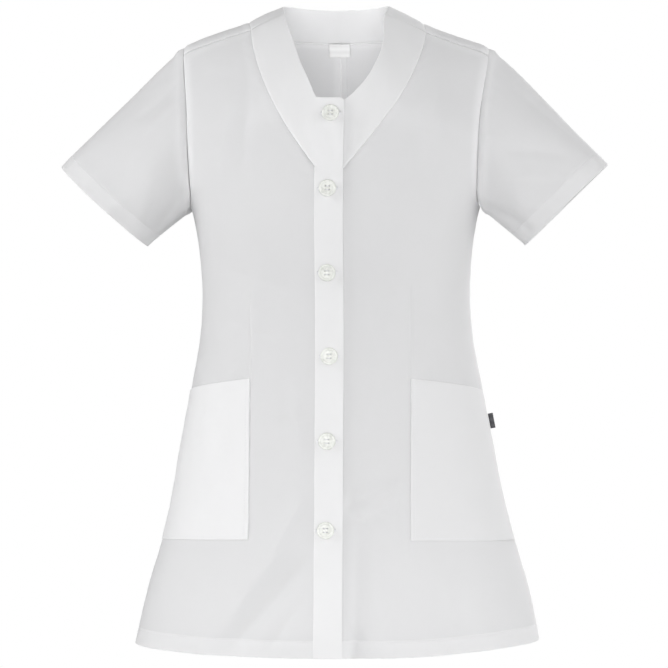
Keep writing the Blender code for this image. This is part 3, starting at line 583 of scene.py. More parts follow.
@dataclass(frozen=True)
class Cuts:
    """The tunic's cut lines on its form, as (angle, fall) pairs."""

    form: Form
    hem_z: float = -0.764
    slit_z: float = -0.708
    armpit_z: float = -0.24
    v_bottom_z: float = -0.1175
    strip_seam_z: float = -0.1985
    dart_x: float = 0.094
    neck_sway: float = 5 * MM
    back_rise: int = 6
    shoulder_angle: float = 61.8
    fine_steps: int = 400
    front_neck_seam: SmoothTable = SmoothTable("x z sway", (
        (-0.0165, -0.229, 0.0), (0.0, -0.216, 0.0), (0.016, -0.2, 0.1), (0.036, -0.1747, 0.4),
        (0.056, -0.147, 0.6), (0.0747, -0.1166, 1.0), (0.087, -0.0915, 1.0), (0.0966, -0.0662, 1.0),
        (0.102, -0.047, 1.0), (0.1045, -0.0305, 0.9),
    ))
    front_neck_edge: SmoothTable = SmoothTable("x z sway slack", (
        (-0.0165, -0.1175, 0.0, 0.0), (0.0, -0.1175, 0.0, 0.0), (0.0165, -0.1175, 0.0, 2.5),
        (0.0248, -0.105, 0.6, 4.0), (0.033, -0.091, 1.0, 5.0), (0.041, -0.074, 1.0, 5.5),
        (0.047, -0.057, 0.9, 6.0), (0.052, -0.039, 0.5, 5.5), (0.056, -0.0225, 0.0, 3.0),
        (0.06, -0.0105, 0.0, 0.0),
    ))
    back_neck: SmoothTable = SmoothTable("x z edge_x edge_y edge_z", (
        (0.0, -0.035, 0.0, 0.057, 0.003), (0.03, -0.035, 0.019, 0.0552, 0.0035),
        (0.055, -0.0345, 0.035, 0.05, 0.004), (0.075, -0.0325, 0.048, 0.041, 0.0045),
        (0.09, -0.029, 0.056, 0.03, 0.0045), (0.1, -0.0245, 0.061, 0.017, 0.003),
        (0.1045, -0.02, 0.0635, 0.004, 0.0005),
    ))
    front_armhole: SmoothTable = SmoothTable("z angle", (
        (-0.24, 90.0), (-0.2375, 80.0), (-0.228, 71.5), (-0.212, 65.5), (-0.19, 61.0), (-0.164, 58.0),
        (-0.138, 57.0), (-0.113, 57.5), (-0.09, 59.0), (-0.072, 60.5), (-0.0585, 61.5),
    ))
    back_armhole: SmoothTable = SmoothTable("z angle", (
        (-0.24, 90.0), (-0.2375, 80.0), (-0.228, 72.0), (-0.212, 66.5), (-0.19, 63.0), (-0.16, 61.0),
        (-0.128, 60.5), (-0.095, 60.8), (-0.065, 61.5), (-0.05, 61.8),
    ))

    def swayed(self, table: SmoothTable, side: Side) -> Grid:
        """Distances from the middle of a neck table: the opening sits a little to the wearer's left."""
        return table.column("x") + side.value * table.column("sway") * self.neck_sway

    def neck_rows(self, side: Side) -> Pairs:
        """The front neck seam with a first pair below it, on the level of the armpit.

        Args:
            side: The wearer's side.

        Returns:
            Pairs from below the strip up to the shoulder seam.
        """
        foot = self.form.level_pair([-self.form.strip_half], [self.armpit_z])
        x, z = self.swayed(self.front_neck_seam, side), self.front_neck_seam.column("z")
        return np.concatenate([foot, self.form.level_pair(x, z)])

    def neck_seam(self, side: Side, at: Grid) -> Pairs:
        """Pairs along the front neck seam by row number."""
        return path_through(self.neck_rows(side), at)

    def neck_edge(self, side: Side, at: Grid) -> Pairs:
        """Pairs along the band's free edge, by the same row numbers as the seam.

        The edge leaves the button strip in a corner, and then runs on smoothly.

        Args:
            side: The wearer's side.
            at: Row numbers.

        Returns:
            A pair for each.
        """
        x, z = self.swayed(self.front_neck_edge, side), self.front_neck_edge.column("z")
        if side is Side.LEFT:
            x = x + self.front_neck_edge.column("slack") * MM
        rows, places = self.form.level_pair(x, z), np.asarray(at, float) - 1
        straight = mix(rows[2], rows[3], (places - 2)[:, None])
        near_corner = np.where(places >= 2, ease(3 - places), 0.0)[:, None]
        return mix(path_through(rows, places), straight, near_corner)

    def back_neck_rows(self, side: Side) -> Pairs:
        """The back neck seam from the middle to the top, and on to the shoulder seam.

        Args:
            side: The wearer's side.

        Returns:
            Pairs, with those of the back negative in fall.
        """
        x, z = self.back_neck.column("x"), self.back_neck.column("z")
        rows = self.form.level_pair(x, z, -1)
        rows[-1, 1] = 0.0
        return np.concatenate([rows, self.neck_rows(side)[-1:]])

    def armhole(self, shares: Grid, sign: int = 1) -> Pairs:
        """Pairs up the armhole to the shoulder seam, at the back over the top of the shoulder.

        Args:
            shares: Shares of its length.
            sign: 1 for the front, -1 for the back.

        Returns:
            A pair for each.
        """
        table = self.front_armhole if sign > 0 else self.back_armhole
        angle, z = table.column("angle"), table.column("z")
        x = self.form.across(angle, self.form.half_width(z))
        rows = np.stack([angle, sign * self.form.fall_at(x, z)], -1)
        if sign < 0:
            rows = np.concatenate([rows, [[self.shoulder_angle, 0.0]], self.armhole(np.array([1.0]))])
        fine = path_through(rows, np.linspace(0, len(rows) - 1, self.fine_steps))
        reach = reach_of(self.form.point(fine, Side.LEFT))
        even = np.asarray(shares) * reach[-1]
        return np.stack([np.interp(even, reach, fine[:, k]) for k in (0, 1)], -1)


# ---- cloth grids


@dataclass
class ClothGrid:
    """A piece of cut cloth as a grid of points.

    Its third grid runs from 0 to 1 and paints the cloth whiter, fully where two layers lie together: single
    cloth is painted darker with the shade of the inside that shows through it.
    """

    points: Grid
    normals: Grid
    double: Grid

    def changed(self, change: Callable[[Grid], Grid]) -> "ClothGrid":
        """The cloth with one change made to the order of all its grids."""
        return ClothGrid(change(self.points), change(self.normals), change(self.double))

    def flipped(self) -> "ClothGrid":
        """The same cloth with its rows in the other order."""
        return self.changed(lambda part: part[::-1])

    def crossed(self) -> "ClothGrid":
        """The same cloth with rows and columns exchanged."""
        return self.changed(lambda part: part.swapaxes(0, 1))

    def spans(self) -> tuple[Grid, Grid]:
        """Distances along each row from its first column, and up each column from its first row."""
        along, up = (np.linalg.norm(np.diff(self.points, axis=axis), axis=2) for axis in (1, 0))
        return np.pad(np.cumsum(along, 1), ((0, 0), (1, 0))), np.pad(np.cumsum(up, 0), ((1, 0), (0, 0)))

    def cut(self) -> tuple[tuple[float, float], float]:
        """The flat cut's width and length, and its area, from the cloth's own spans."""
        across, up = self.spans()
        points, least_share = self.points, 0.3
        cells = np.cross(points[1:, 1:] - points[:-1, :-1], points[:-1, 1:] - points[1:, :-1])
        area = float(np.linalg.norm(cells, axis=2).sum() / 2)
        width, length = (max(float(span.max()), LEAST_CUT) for span in (across[:, -1], up))
        return (width, length), min(max(area, least_share * width * length), width * length)

    def pushed(self, push: Grid) -> None:
        """Moves the cloth in along its own directions."""
        self.points = self.points - self.normals * push[..., None]

    def turned_in(self, rows: int, depth: float = 2 * CLOTH_THICK + LAYER_AIR) -> "ClothGrid":
        """Folds the cloth under beyond its last row.

        Args:
            rows: How many rows of the turned part lie back over the cloth.
            depth: How far behind the outer face the turned part shows its own.

        Returns:
            The longer grid, which runs round the fold.
        """
        edge, direction = self.points[-1], self.normals[-1]
        out = unit(self.points[-1] - self.points[-2])
        radius = depth / 2
        turns = np.radians((30.0, 62.0, 90.0, 118.0, 150.0))
        ways = [direction * math.cos(turn) + out * math.sin(turn) for turn in turns]
        bend = [edge - direction * radius - out * radius + way * radius for way in ways]
        under = slice(-2, -2 - rows, -1)
        body = self.points.copy()
        body[-1] = edge - out * radius
        # painted light: the bend and the turned part take the whiter tone of doubled cloth
        return ClothGrid(
            np.concatenate([body, bend, self.points[under] - self.normals[under] * depth]),
            np.concatenate([self.normals, ways, -self.normals[under]]),
            np.concatenate([self.double, np.ones((len(bend) + rows, self.double.shape[1]))]),
        )


def draw_grid(bm: Draft, cloth: ClothGrid, form: Form | None) -> None:
    """Draws a cloth grid into a mesh, with UVs in metres and its faces outwards.

    Args:
        bm: The mesh, with its layers made.
        cloth: The grid to draw.
        form: The form that it settles on, or None.
    """
    rows, columns = cloth.double.shape
    across, up = cloth.spans()
    points = form.settled(cloth.points) if form else cloth.points
    uv, layer = bm.loops.layers.uv["cloth"], bm.verts.layers.float["double"]
    verts = bmesh.ops.create_grid(
        bm, x_segments=columns - 1, y_segments=rows - 1, size=0.5, calc_uvs=True
    )["verts"]
    bm.verts.index_update()
    place = {}
    for vert in verts:
        i = round((vert.co.y + 0.5) * (rows - 1))
        j = round((vert.co.x + 0.5) * (columns - 1))
        place[vert.index] = (i, j)
        vert.co = points[i, j]
        vert[layer] = cloth.double[i, j]
    faces = list({face for vert in verts for face in vert.link_faces})
    agree = 0.0
    for face in faces:
        face.smooth = True
        face.normal_update()
        agree += face.normal.dot(Vector(cloth.normals[place[face.verts[0].index]]))
        for loop in face.loops:
            i, j = place[loop.vert.index]
            loop[uv].uv = (across[i, j], up[i, j])
    if agree < 0:
        bmesh.ops.reverse_faces(bm, faces=faces)


def mesh_of(bm: Draft, name: str) -> Mesh:
    """A mesh from a bmesh, which is freed."""
    mesh = bpy.data.meshes.new(name)
    bm.to_mesh(mesh)
    bm.free()
    return mesh


def sheet_mesh(name: str, cloths: Sequence[ClothGrid], form: Form | None) -> Mesh:
    """Draws the grids of one piece as a mesh, joined where their points meet.

    Args:
        name: Name of the mesh.
        cloths: The piece's grids.
        form: The form that it settles on, or None.

    Returns:
        The mesh, one layer of faces that point outwards.
    """
    bm = bmesh.new()
    bm.loops.layers.uv.new("cloth")
    bm.verts.layers.float.new("double")
    for cloth in cloths:
        draw_grid(bm, cloth, form)
    bmesh.ops.remove_doubles(bm, verts=bm.verts, dist=SAME_PLACE)
    return mesh_of(bm, name)


def show(thing: Piece) -> None:
    """Puts an object into the scene."""
    bpy.context.scene.collection.objects.link(thing)


def linked(name: str, mesh: Mesh, material: Material) -> Piece:
    """An object in the scene for a finished mesh, with its material.

    Args:
        name: The piece's name.
        mesh: Its mesh.
        material: Its material, for a mesh that has none.

    Returns:
        The object.
    """
    piece = bpy.data.objects.new(name, mesh)
    show(piece)
    if not mesh.materials:
        mesh.materials.append(material)
    return piece


def thicken(piece: Piece, thick: float) -> None:
    """Gives a sheet its thickness, behind its outer face."""
    wall = piece.modifiers.new("cloth thickness", "SOLIDIFY")
    wall.thickness, wall.offset, wall.use_even_offset = thick, -1.0, False


def place_piece(piece: Piece, slot: str, *nodes: str) -> Piece:
    """Lets a finished piece ride on the tunic, in place of its solids.

    Args:
        piece: The piece.
        slot: Not used.
        nodes: The solids that it stands for.

    Returns:
        The same piece.
    """
    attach(piece, "root")
    if nodes:
        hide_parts(*nodes)
    LOG.info("made %s", piece.name)
    return piece


@dataclass
class ClothPiece:
    """A sheet of cloth from one grid or more.

    nodes are the solids that it stands for. flat, its cut's size where the piece isn't one
    plain strip or panel, is not used.
    """

    name: str
    cloths: Sequence[ClothGrid]
    form: Form | None
    nodes: Sequence[str] = ()
    flat: tuple[float, float] | None = None
    slot: str = "cloth"
    thick: float = CLOTH_THICK

    def build(self, material: Material) -> Piece:
        """Makes the piece with its thickness, and works out its cut.

        Args:
            material: The cloth's finish.

        Returns:
            The piece.
        """
        mesh = sheet_mesh(self.name, self.cloths, self.form)
        piece = linked(f"{self.name}_cloth", mesh, material)
        thicken(piece, self.thick)
        place_piece(piece, self.slot, *(self.nodes or (self.name,)))
        cuts = [cloth.cut() for cloth in self.cloths]
        return piece


# ---- finishes


def linear(colour: str) -> tuple[float, float, float, float]:
    """An sRGB hex colour as linear values with alpha 1."""
    channels = [int(colour[k : k + 2], 16) / 255 for k in (1, 3, 5)]
    return (*(c / 12.92 if c <= 0.04045 else ((c + 0.055) / 1.055) ** 2.4 for c in channels), 1.0)


def fill(tree: Tree, node: bpy.types.Node, inputs: dict) -> None:
    """Sets a node's inputs to values, and links those that are given another node's output."""
    for key, value in inputs.items():
        if isinstance(value, Socket):
            tree.links.new(value, node.inputs[key])
        else:
            node.inputs[key].default_value = value


def add_node(tree: Tree, kind: str, inputs: dict | None = None, **settings: object) -> bpy.types.Node:
    """Adds a node with its settings, values and links.

    Args:
        tree: The node tree.
        kind: The node's type name.
        inputs: For each input, a value to set or another node's output to link.
        settings: The node's own properties.

    Returns:
        The node.
    """
    node = tree.nodes.new(kind)
    for key, value in settings.items():
        setattr(node, key, value)
    fill(tree, node, inputs or {})
    return node


def shader_of(name: str) -> tuple[Material, Tree, bpy.types.Node]:
    """A new material with its node tree and its Principled shader."""
    material = bpy.data.materials.new(name)
    material.use_nodes = True
    return material, material.node_tree, material.node_tree.nodes["Principled BSDF"]


def object_place(tree: Tree) -> Socket:
    """Places in the piece's own metres."""
    return add_node(tree, "ShaderNodeTexCoord").outputs["Object"]


def clouds(tree: Tree, where: Socket, size_mm: float, **inputs: float) -> Socket:
    """Soft clouds of a real size, with more inputs of their noise by name."""
    values = {"Vector": where, "Scale": 1000 / size_mm, **inputs}
    return add_node(tree, "ShaderNodeTexNoise", values).outputs["Fac"]


def ribs(tree: Tree, where: Socket, apart_mm: float, way: str, inputs: dict) -> Socket:
    """Fine ribs a real distance apart.

    Args:
        tree: The node tree.
        where: Places in metres.
        apart_mm: Distance between the ribs.
        way: The axis along which they follow one another.
        inputs: More inputs of the wave, which repeats 20 times a metre at a scale of 1.

    Returns:
        Their height.
    """
    values = {"Vector": where, "Scale": 1000 / apart_mm / 20, **inputs}
    return add_node(tree, "ShaderNodeTexWave", values, bands_direction=way).outputs["Fac"]


def maths(tree: Tree, operation: str, *values: object, clamp: bool = False) -> Socket:
    """One sum or product of values and other nodes' outputs."""
    inputs = dict(enumerate(values))
    return add_node(tree, "ShaderNodeMath", inputs, operation=operation, use_clamp=clamp).outputs[0]


def relief(tree: Tree, height: Socket, strength: float, deep_mm: float, **under: Socket) -> Socket:
    """The slope of a fine relief, on top of the one under it where Normal is given."""
    values = {"Height": height, "Strength": strength, "Distance": deep_mm * MM, **under}
    return add_node(tree, "ShaderNodeBump", values).outputs["Normal"]


def two_tones(
    tree: Tree, factor: Socket, deep: str, pale: str, ends: tuple[float, float] = (0.0, 1.0)
) -> Socket:
    """A colour between two tones.

    Args:
        tree: The node tree.
        factor: What chooses between them.
        deep: The tone at the factor's first end.
        pale: The tone at its second end.
        ends: The factor at which each tone is reached.

    Returns:
        The colour.
    """
    ramp = add_node(tree, "ShaderNodeValToRGB", {"Fac": factor})
    for stop, tone, at in zip(ramp.color_ramp.elements, (deep, pale), ends):
        stop.color, stop.position = linear(tone), at
    return ramp.outputs["Color"]


@dataclass(frozen=True)
class TunicCloth:
    """Polyester and cotton poplin, bleached white, plain woven and pressed.

    To the eye it is a matt white with a faint bluish cast, a soft bloom at grazing angles, and a
    fine thread that only shows close up. Its colour holds painted shade: single cloth is painted
    darker for the shaded inside that shows through it, and where layers lie together it is painted whiter.
    """

    name: str = "poplin_polyester_cotton"
    # painted shade: the single tone is darker for the shaded inside seen through one layer; the double tone
    # is the lighter one where layers lie together
    single: str = "#D4D4D5"
    double: str = "#ECECED"
    roughness: float = 0.85
    sheen: float = 0.18
    thread_mm: float = 1.3  # real threads are 0.3 mm apart, and are drawn coarser to show at all
    mottle_mm: float = 55.0
    mottle: float = 0.12
    slub_mm: float = 9.0
    glow: float = 0.5  # thin cloth lets some light through
    glow_mm: float = 1.5

    def material(self) -> Material:
        """The finish as a node material."""
        material, tree, shader = shader_of(self.name)
        uv = add_node(tree, "ShaderNodeUVMap", uv_map="cloth").outputs["UV"]
        # the attribute mixes the painted shade of single cloth with the painted lighter tone of doubled cloth
        layers = add_node(tree, "ShaderNodeAttribute", attribute_name="double").outputs["Fac"]
        mottle = clouds(tree, uv, self.mottle_mm, Detail=4.0, Roughness=0.6)
        uneven = maths(tree, "MULTIPLY_ADD", mottle, self.mottle, -self.mottle / 2)
        share = maths(tree, "ADD", layers, uneven, clamp=True)
        # a mix node's colours are its inputs 6 and 7 and its output 2
        tones = {0: share, 6: linear(self.single), 7: linear(self.double)}
        wander = {"Distortion": 0.6, "Detail": 1.0, "Detail Scale": 6.0}
        weave = maths(tree, "MULTIPLY", *(ribs(tree, uv, self.thread_mm, way, wander) for way in "XY"))
        slub = clouds(tree, uv, self.slub_mm, Detail=5.0, Roughness=0.65)
        fill(tree, shader, {
            "Base Color": add_node(tree, "ShaderNodeMix", tones, data_type="RGBA").outputs[2],
            "Normal": relief(tree, slub, 0.15, 0.3, Normal=relief(tree, weave, 0.1, 0.15)),
            "Roughness": self.roughness,
            "Sheen Weight": self.sheen,
            "Sheen Roughness": 0.5,
            "Specular IOR Level": 0.25,
            "Subsurface Weight": self.glow,
            "Subsurface Radius": (1.0, 1.0, 1.0),
            "Subsurface Scale": self.glow_mm * MM,
        })
        return material


@dataclass(frozen=True)
class ButtonResin:
    """Polyester resin, cast in sheets and turned: off-white, softly glossy, with faint pearly clouds."""

    name: str = "cast_polyester_resin"
    pale: str = "#E6E7E3"
    deep: str = "#D0D2CC"
    roughness: float = 0.28
    cloud_mm: float = 6.0

    def material(self) -> Material:
        """The finish as a node material."""
        material, tree, shader = shader_of(self.name)
        cloud = clouds(tree, object_place(tree), self.cloud_mm, Detail=3.0, Distortion=1.4)
        fill(tree, shader, {
            "Base Color": two_tones(tree, cloud, self.deep, self.pale, (0.32, 0.62)),
            "Normal": relief(tree, cloud, 0.08, 0.1),
            "Roughness": self.roughness,
            "IOR": 1.56,
            "Specular IOR Level": 0.2,
            "Coat Weight": 0.1,
            "Coat Roughness": 0.15,
        })
        return material


@dataclass(frozen=True)
class WovenTape:
    """Woven polyester tape, matt with fine cross ribs, for the label and the side tab."""

    name: str
    colour: str
    shade: str
    roughness: float = 0.6
    rib_mm: float = 1.2  # real ribs are 0.3 mm apart, and are drawn coarser to show

    def material(self) -> Material:
        """The finish as a node material."""
        material, tree, shader = shader_of(self.name)
        rib = ribs(tree, object_place(tree), self.rib_mm, "Z", {"Distortion": 0.4})
        fill(tree, shader, {
            # painted shade: the ribs' low parts take the darker tone, as shade in their grooves
            "Base Color": two_tones(tree, rib, self.shade, self.colour),
            "Normal": relief(tree, rib, 0.3, 0.1),
            "Roughness": self.roughness,
            "Sheen Weight": 0.1,
        })
        return material


@dataclass(frozen=True)
class SewingThread:
    """Spun polyester thread: white, slightly brighter than the cloth, with a twisted surface."""

    name: str = "spun_polyester_thread"
    colour: str = "#F2F2F4"
    shade: str = "#DADADF"
    twist_mm: float = 0.8

    def material(self) -> Material:
        """The finish as a node material."""
        material, tree, shader = shader_of(self.name)
        fluff = clouds(tree, object_place(tree), self.twist_mm)
        tone = two_tones(tree, fluff, self.shade, self.colour)
        fill(tree, shader, {"Base Color": tone, "Roughness": 0.55, "Sheen Weight": 0.15})
        return material


class Finishes:
    """Every material of the tunic, made once."""

    def __init__(self) -> None:
        """Makes the materials."""
        self.cloth = TunicCloth().material()
        self.button = ButtonResin().material()
        self.label = WovenTape("woven_polyester_tape_white", "#F2F2F2", "#E8E8E8").material()
        self.tab = WovenTape("woven_polyester_tape_dark", "#48484C", "#343438").material()
        self.thread = SewingThread().material()


# ---- sewing


@dataclass
class Stitching:
    """Rows of small machine stitches lying in the cloth. The real ones are about 2.5 mm long."""

    length: float = 2.1 * MM
    pitch: float = 3 * MM
    wide: float = 0.45 * MM
    proud: float = 0.12 * MM
    flat: float = 0.4
    bm: Draft = field(default_factory=bmesh.new)

    def add_row(self, line: Grid, normals: Grid) -> None:
        """Adds stitches along a line.

        Args:
            line: Points on the cloth's outer face, one after another.
            normals: The cloth's outward direction at each point.
        """
        reach = reach_of(line)
        count = int(reach[-1] / self.pitch)
        if count < 1:
            return
        for k in range(count):
            at = (k + 0.5) * reach[-1] / count
            ends = (at - self.length / 2, at + self.length / 2)
            tail, head = (self._read(reach, line, a) for a in ends)
            self.add_one(tail, head, unit(self._read(reach, normals, at)))

    def add_one(self, tail: Grid, head: Grid, out: Grid) -> None:
        """Adds one stitch between two points, lying against the cloth that faces out.

        Args:
            tail: One end.
            head: The other end.
            out: The cloth's outward direction.
        """
        run = Vector(head - tail)
        along = run.normalized()
        across = Vector(out).cross(along).normalized()
        turn = Matrix((along, across, along.cross(across))).transposed().to_4x4()
        middle = Vector((head + tail) / 2) + Vector(out) * self.proud
        size = Matrix.Diagonal((run.length / 2, self.wide / 2, self.wide * self.flat, 1.0))
        bmesh.ops.create_icosphere(
            self.bm,
            subdivisions=1,
            radius=1.0,
            matrix=Matrix.Translation(middle) @ turn @ size,
        )

    def _read(self, reach: Grid, rows: Grid, at: float) -> Grid:
        """A row read at a distance along the line."""
        return np.array([np.interp(at, reach, rows[:, k]) for k in range(3)])

    def finished(self, name: str, material: Material) -> Piece:
        """The stitches as one piece."""
        mesh = mesh_of(self.bm, name)
        mesh.shade_smooth()
        return place_piece(linked(name, mesh, material), "cloth")


def line_at(cloth: ClothGrid, row: float, form: Form) -> tuple[Grid, Grid]:
    """A settled line along a grid at a row number that may fall between rows.

    Args:
        cloth: The grid.
        row: The row number.
        form: The form whose settling the line follows.

    Returns:
        Points of the line, and the cloth's outward directions at them.
    """
    i = min(int(row), len(cloth.points) - 2)
    points = mix(cloth.points[i], cloth.points[i + 1], row - i)
    return form.settled(points), cloth.normals[i]


# ---- body


@dataclass
class Body:
    """The two fronts and two backs, with their hems, darts and side slits."""

    form: Form
    cuts: Cuts
    finishes: Finishes
    hem_height: float = 20 * MM
    hem_stitch: float = 18 * MM
    # painted light: the share of the whiter doubled tone that the hem is painted with
    hem_white: float = 0.5
    slit_gap: float = 3 * MM
    slit_turning: float = 9 * MM
    slit_stitch: float = 7 * MM
    seam_turning: float = 10 * MM
    underlap_depth: float = 2.1 * MM
    lap_from: float = 40 * MM
    lap_ease: float = 30 * MM
    slit_end: float = 6 * MM
    # painted light: the share of the whiter doubled tone that the seam turnings are painted with
    turning_white: float = 0.35
    dart_top_z: float = -0.318
    dart_foot_z: float = -0.452
    dart_dip: float = 0.6 * MM
    upper_step: float = 1 / 7
    strip_width: float = 0.033
    back_width: float = 0.2
    side_part: float = 0.12
    strip_to_dart_mm: float = 78
    dart_to_side_mm: float = 110
    edge_extras: tuple[float, ...] = (1 * MM, 2.4 * MM, 4.5 * MM, 7.5 * MM)

    def levels(self) -> Grid:
        """Heights of the level rows, closer together along the hem's stitches."""
        hem, groove = self.cuts.hem_z, self.cuts.hem_z + self.hem_stitch
        extra = [hem + 1.2 * MM, hem + 2.6 * MM]
        extra += [groove + k * MM for k in (-1.6, -0.8, 0.0, 0.8, 1.6, 2.8)]
        return spaced(hem, self.cuts.armpit_z, CELL, extra)

    def under_lap(self, points: Grid) -> Grid:
        """The wearer's left front passes under the right one along the buttons."""
        near = (self.form.strip_half + self.lap_from - points[..., 0]) / self.lap_ease
        return -self.underlap_depth * ease(near)

    def front_pair(self, s: Grid, z: Grid) -> Pairs:
        """(angle, fall) of a place on a front's level part.

        Args:
            s: 0 at the buttoned edge, 1 past the strip, 2 at the dart and 3 at the side seam.
            z: Height.

        Returns:
            Pairs on the last axis.
        """
        s, z = np.broadcast_arrays(np.asarray(s, float), np.asarray(z, float))
        left = self.form.level_pair(np.full(z.shape, -self.form.strip_half), z)
        right_fall = self.form.fall_at(self.form.half_width(z), z)
        share = self.share_at(s, z, left[..., 0])
        return np.stack([mix(left[..., 0], 90.0, share), mix(left[..., 1], right_fall, share)], -1)

    def share_at(self, s: Grid, z: Grid, left: Grid) -> Grid:
        """The share of the way from the buttoned edge to the side for a place across.

        Args:
            s: Place across, as in front_pair.
            z: Height.
            left: Angle of the buttoned edge.

        Returns:
            The share.
        """
        lines = (self.form.strip_half, self.cuts.dart_x)
        strip, dart = ((self.form.angle_at(np.full(z.shape, x), z) - left) / (90 - left) for x in lines)
        return np.where(s < 1, s * strip, np.where(s < 2, mix(strip, dart, s - 1), mix(dart, 1.0, s - 2)))

    def front_columns(self) -> Grid:
        """Places across a front, closer together at the dart line and the edges."""
        near_dart = [2 + k / self.strip_to_dart_mm for k in (-3.6, -2.2, -1.2, -0.5, 0.5)]
        near_dart += [2 + k / self.dart_to_side_mm for k in (1.2, 2.4, 3.8)]
        near_side = [3 - e / self.side_part for e in self.edge_extras]
        near_strip = [e / self.strip_width for e in self.edge_extras[:3]]
        columns = [
            spaced(0.0, 1.0, 0.14, near_strip),
            spaced(1.0, 2.0, 0.052, near_dart),
            spaced(2.0, 3.0, 0.032, near_dart + near_side),
        ]
        return np.unique(np.concatenate([*columns, near_dart]).round(6))

    def front_grid(self, side: Side) -> ClothGrid:
        """One front, from its hem to the shoulder seam.

        Args:
            side: The wearer's side.

        Returns:
            Its cloth.
        """
        levels, columns = self.levels(), self.front_columns()
        lower = self.front_pair(columns[None, :], levels[:, None])
        rows = len(self.cuts.neck_rows(side)) - 1
        top = [rows - k for k in (0.04, 0.1, 0.2, 0.34)]
        at = spaced(0.0, float(rows), self.upper_step, [0.05, 0.12, *top])[1:]
        left = self.cuts.neck_seam(side, at)
        right = self.cuts.armhole(at / rows)
        z = np.full(len(columns), self.cuts.armpit_z)
        share = self.share_at(columns, z, lower[-1, 0, 0])[None, :, None]
        upper = mix(left[:, None], right[:, None], share)
        pairs = np.concatenate([lower, upper])
        lift = self.under_lap if side is Side.LEFT else 0.0
        points, normals = self.form.skin(pairs, side, lift)
        cloth = ClothGrid(points, normals, np.zeros(points.shape[:2]))
        self._lay_front(cloth, len(levels), side)
        return cloth

    def _lay_front(self, cloth: ClothGrid, lower: int, side: Side) -> None:
        """Puts the seams, the dart and the hem into a front's cloth.

        Args:
            cloth: The front.
            lower: How many of its rows are level.
            side: The wearer's side.
        """
        across, up = cloth.spans()
        x, z = np.abs(cloth.points[..., 0]), cloth.points[..., 2]
        upper = np.zeros((len(z), 1))
        upper[lower + 2 :] = 1.0
        seed = 20 + side.value
        inner = SeamRelief(seed=seed + 2, dip=0.5 * MM).push(across, up) * upper
        inside = ease((self.dart_top_z - z) / 0.06) * ease((z - self.dart_foot_z) / 0.004)
        inner += self.dart_dip * bell(x - self.cuts.dart_x, 1.3 * MM) * inside
        inner -= 0.3 * MM * bell(x - self.cuts.dart_x + 5 * MM, 4 * MM) * inside
        self._lay_edges(cloth, seed, inner, up[-1:] - up)

    def _lay_edges(self, cloth: ClothGrid, seed: int, inner: Grid, from_seam: Grid) -> None:
        """Puts the side and top seams and the hem into a panel's cloth, and paints its turnings in a whiter
        tone, painted light for less see-through shade.

        Args:
            cloth: The panel.
            seed: Of the side seam's puckers, one less than the top seam's.
            inner: The push of the rest of its relief.
            from_seam: Distance from the other seam that shows its turnings.
        """
        across, up = cloth.spans()
        from_side, z = across[:, -1:] - across, cloth.points[..., 2]
        above_slit = ease((z - self.cuts.slit_z) / self.slit_end)
        push = SeamRelief(seed=seed, dip=0.5 * MM, roll=0.2 * MM).push(from_side, up) * above_slit
        push += SeamRelief(seed=seed + 1, roll=0.3 * MM).push(up[-1:] - up, across)
        self._lay_hem(cloth, push + inner, z, from_side)
        near = bell(from_side, self.seam_turning, 4) * above_slit
        near = np.maximum(near, bell(from_seam, self.seam_turning, 4))
        cloth.double = np.maximum(cloth.double, self.turning_white * near)

    def _lay_hem(self, cloth: ClothGrid, push: Grid, z: Grid, from_side: Grid) -> None:
        """Adds the hem's stitched groove, the turned slit edge and the doubled cloth's painted whiter tone.

        Args:
            cloth: The panel.
            push: The push of its seams.
            z: Height at each place.
            from_side: Distance from the side seam at each place.
        """
        above = z - self.cuts.hem_z
        from_stitches = above - self.hem_stitch
        wave = Ripple(31, 14 * MM, 40 * MM, 0.25 * MM, 8).push(cloth.points[..., :2])
        push = push + 0.35 * MM * bell(from_stitches, 0.9 * MM) - 0.1 * MM * (above < self.hem_stitch)
        cloth.pushed(push + wave * bell(from_stitches, 9 * MM))
        in_slit = (z < self.cuts.slit_z + 4 * MM) * (from_side < self.slit_turning)
        hemmed = ease((self.hem_height - above) / (1.2 * MM) + 0.5)
        cloth.double = self.hem_white * np.maximum(hemmed, in_slit)

    def back_grid(self, side: Side) -> ClothGrid:
        """One back, from its hem over the shoulder to the shoulder seam.

        Args:
            side: The wearer's side.

        Returns:
            Its cloth.
        """
        levels = self.levels()
        near_edge = [e / self.back_width for e in self.edge_extras]
        columns = spaced(0.0, 1.0, 0.0165, near_edge + [1 - e for e in near_edge])
        middle = self.form.level_pair(np.zeros(len(levels)), levels, -1)
        edge_fall = -self.form.fall_at(self.form.half_width(levels), levels)
        edge = np.stack([np.full(len(levels), 90.0), edge_fall], -1)
        lower = mix(middle[:, None], edge[:, None], columns[None, :, None])
        rise, neck = self.cuts.back_rise + 1, self.cuts.back_neck_rows(side)
        total = rise + len(neck) - 1
        top = [total - k for k in (0.06, 0.14, 0.28, 0.45)]
        at = spaced(0.0, float(total), self.upper_step, [0.05, 0.12, rise, *top])[1:]
        centre_z = mix(self.cuts.armpit_z, self.cuts.back_neck.column("z")[0], at / rise)
        centre = self.form.level_pair(np.zeros(len(at)), centre_z, -1)
        left = np.where(at[:, None] <= rise, centre, path_through(neck, at - rise))
        right = self.cuts.armhole(at / total, -1)
        upper = mix(left[:, None], right[:, None], columns[None, :, None])
        pairs = np.concatenate([lower, upper])
        points, normals = self.form.skin(pairs, side)
        cloth = ClothGrid(points, normals, np.zeros(points.shape[:2]))
        across, up = cloth.spans()
        inner = SeamRelief(seed=44, dip=0.6 * MM).push(across, up)
        self._lay_edges(cloth, 40 + side.value, inner, across)
        return cloth

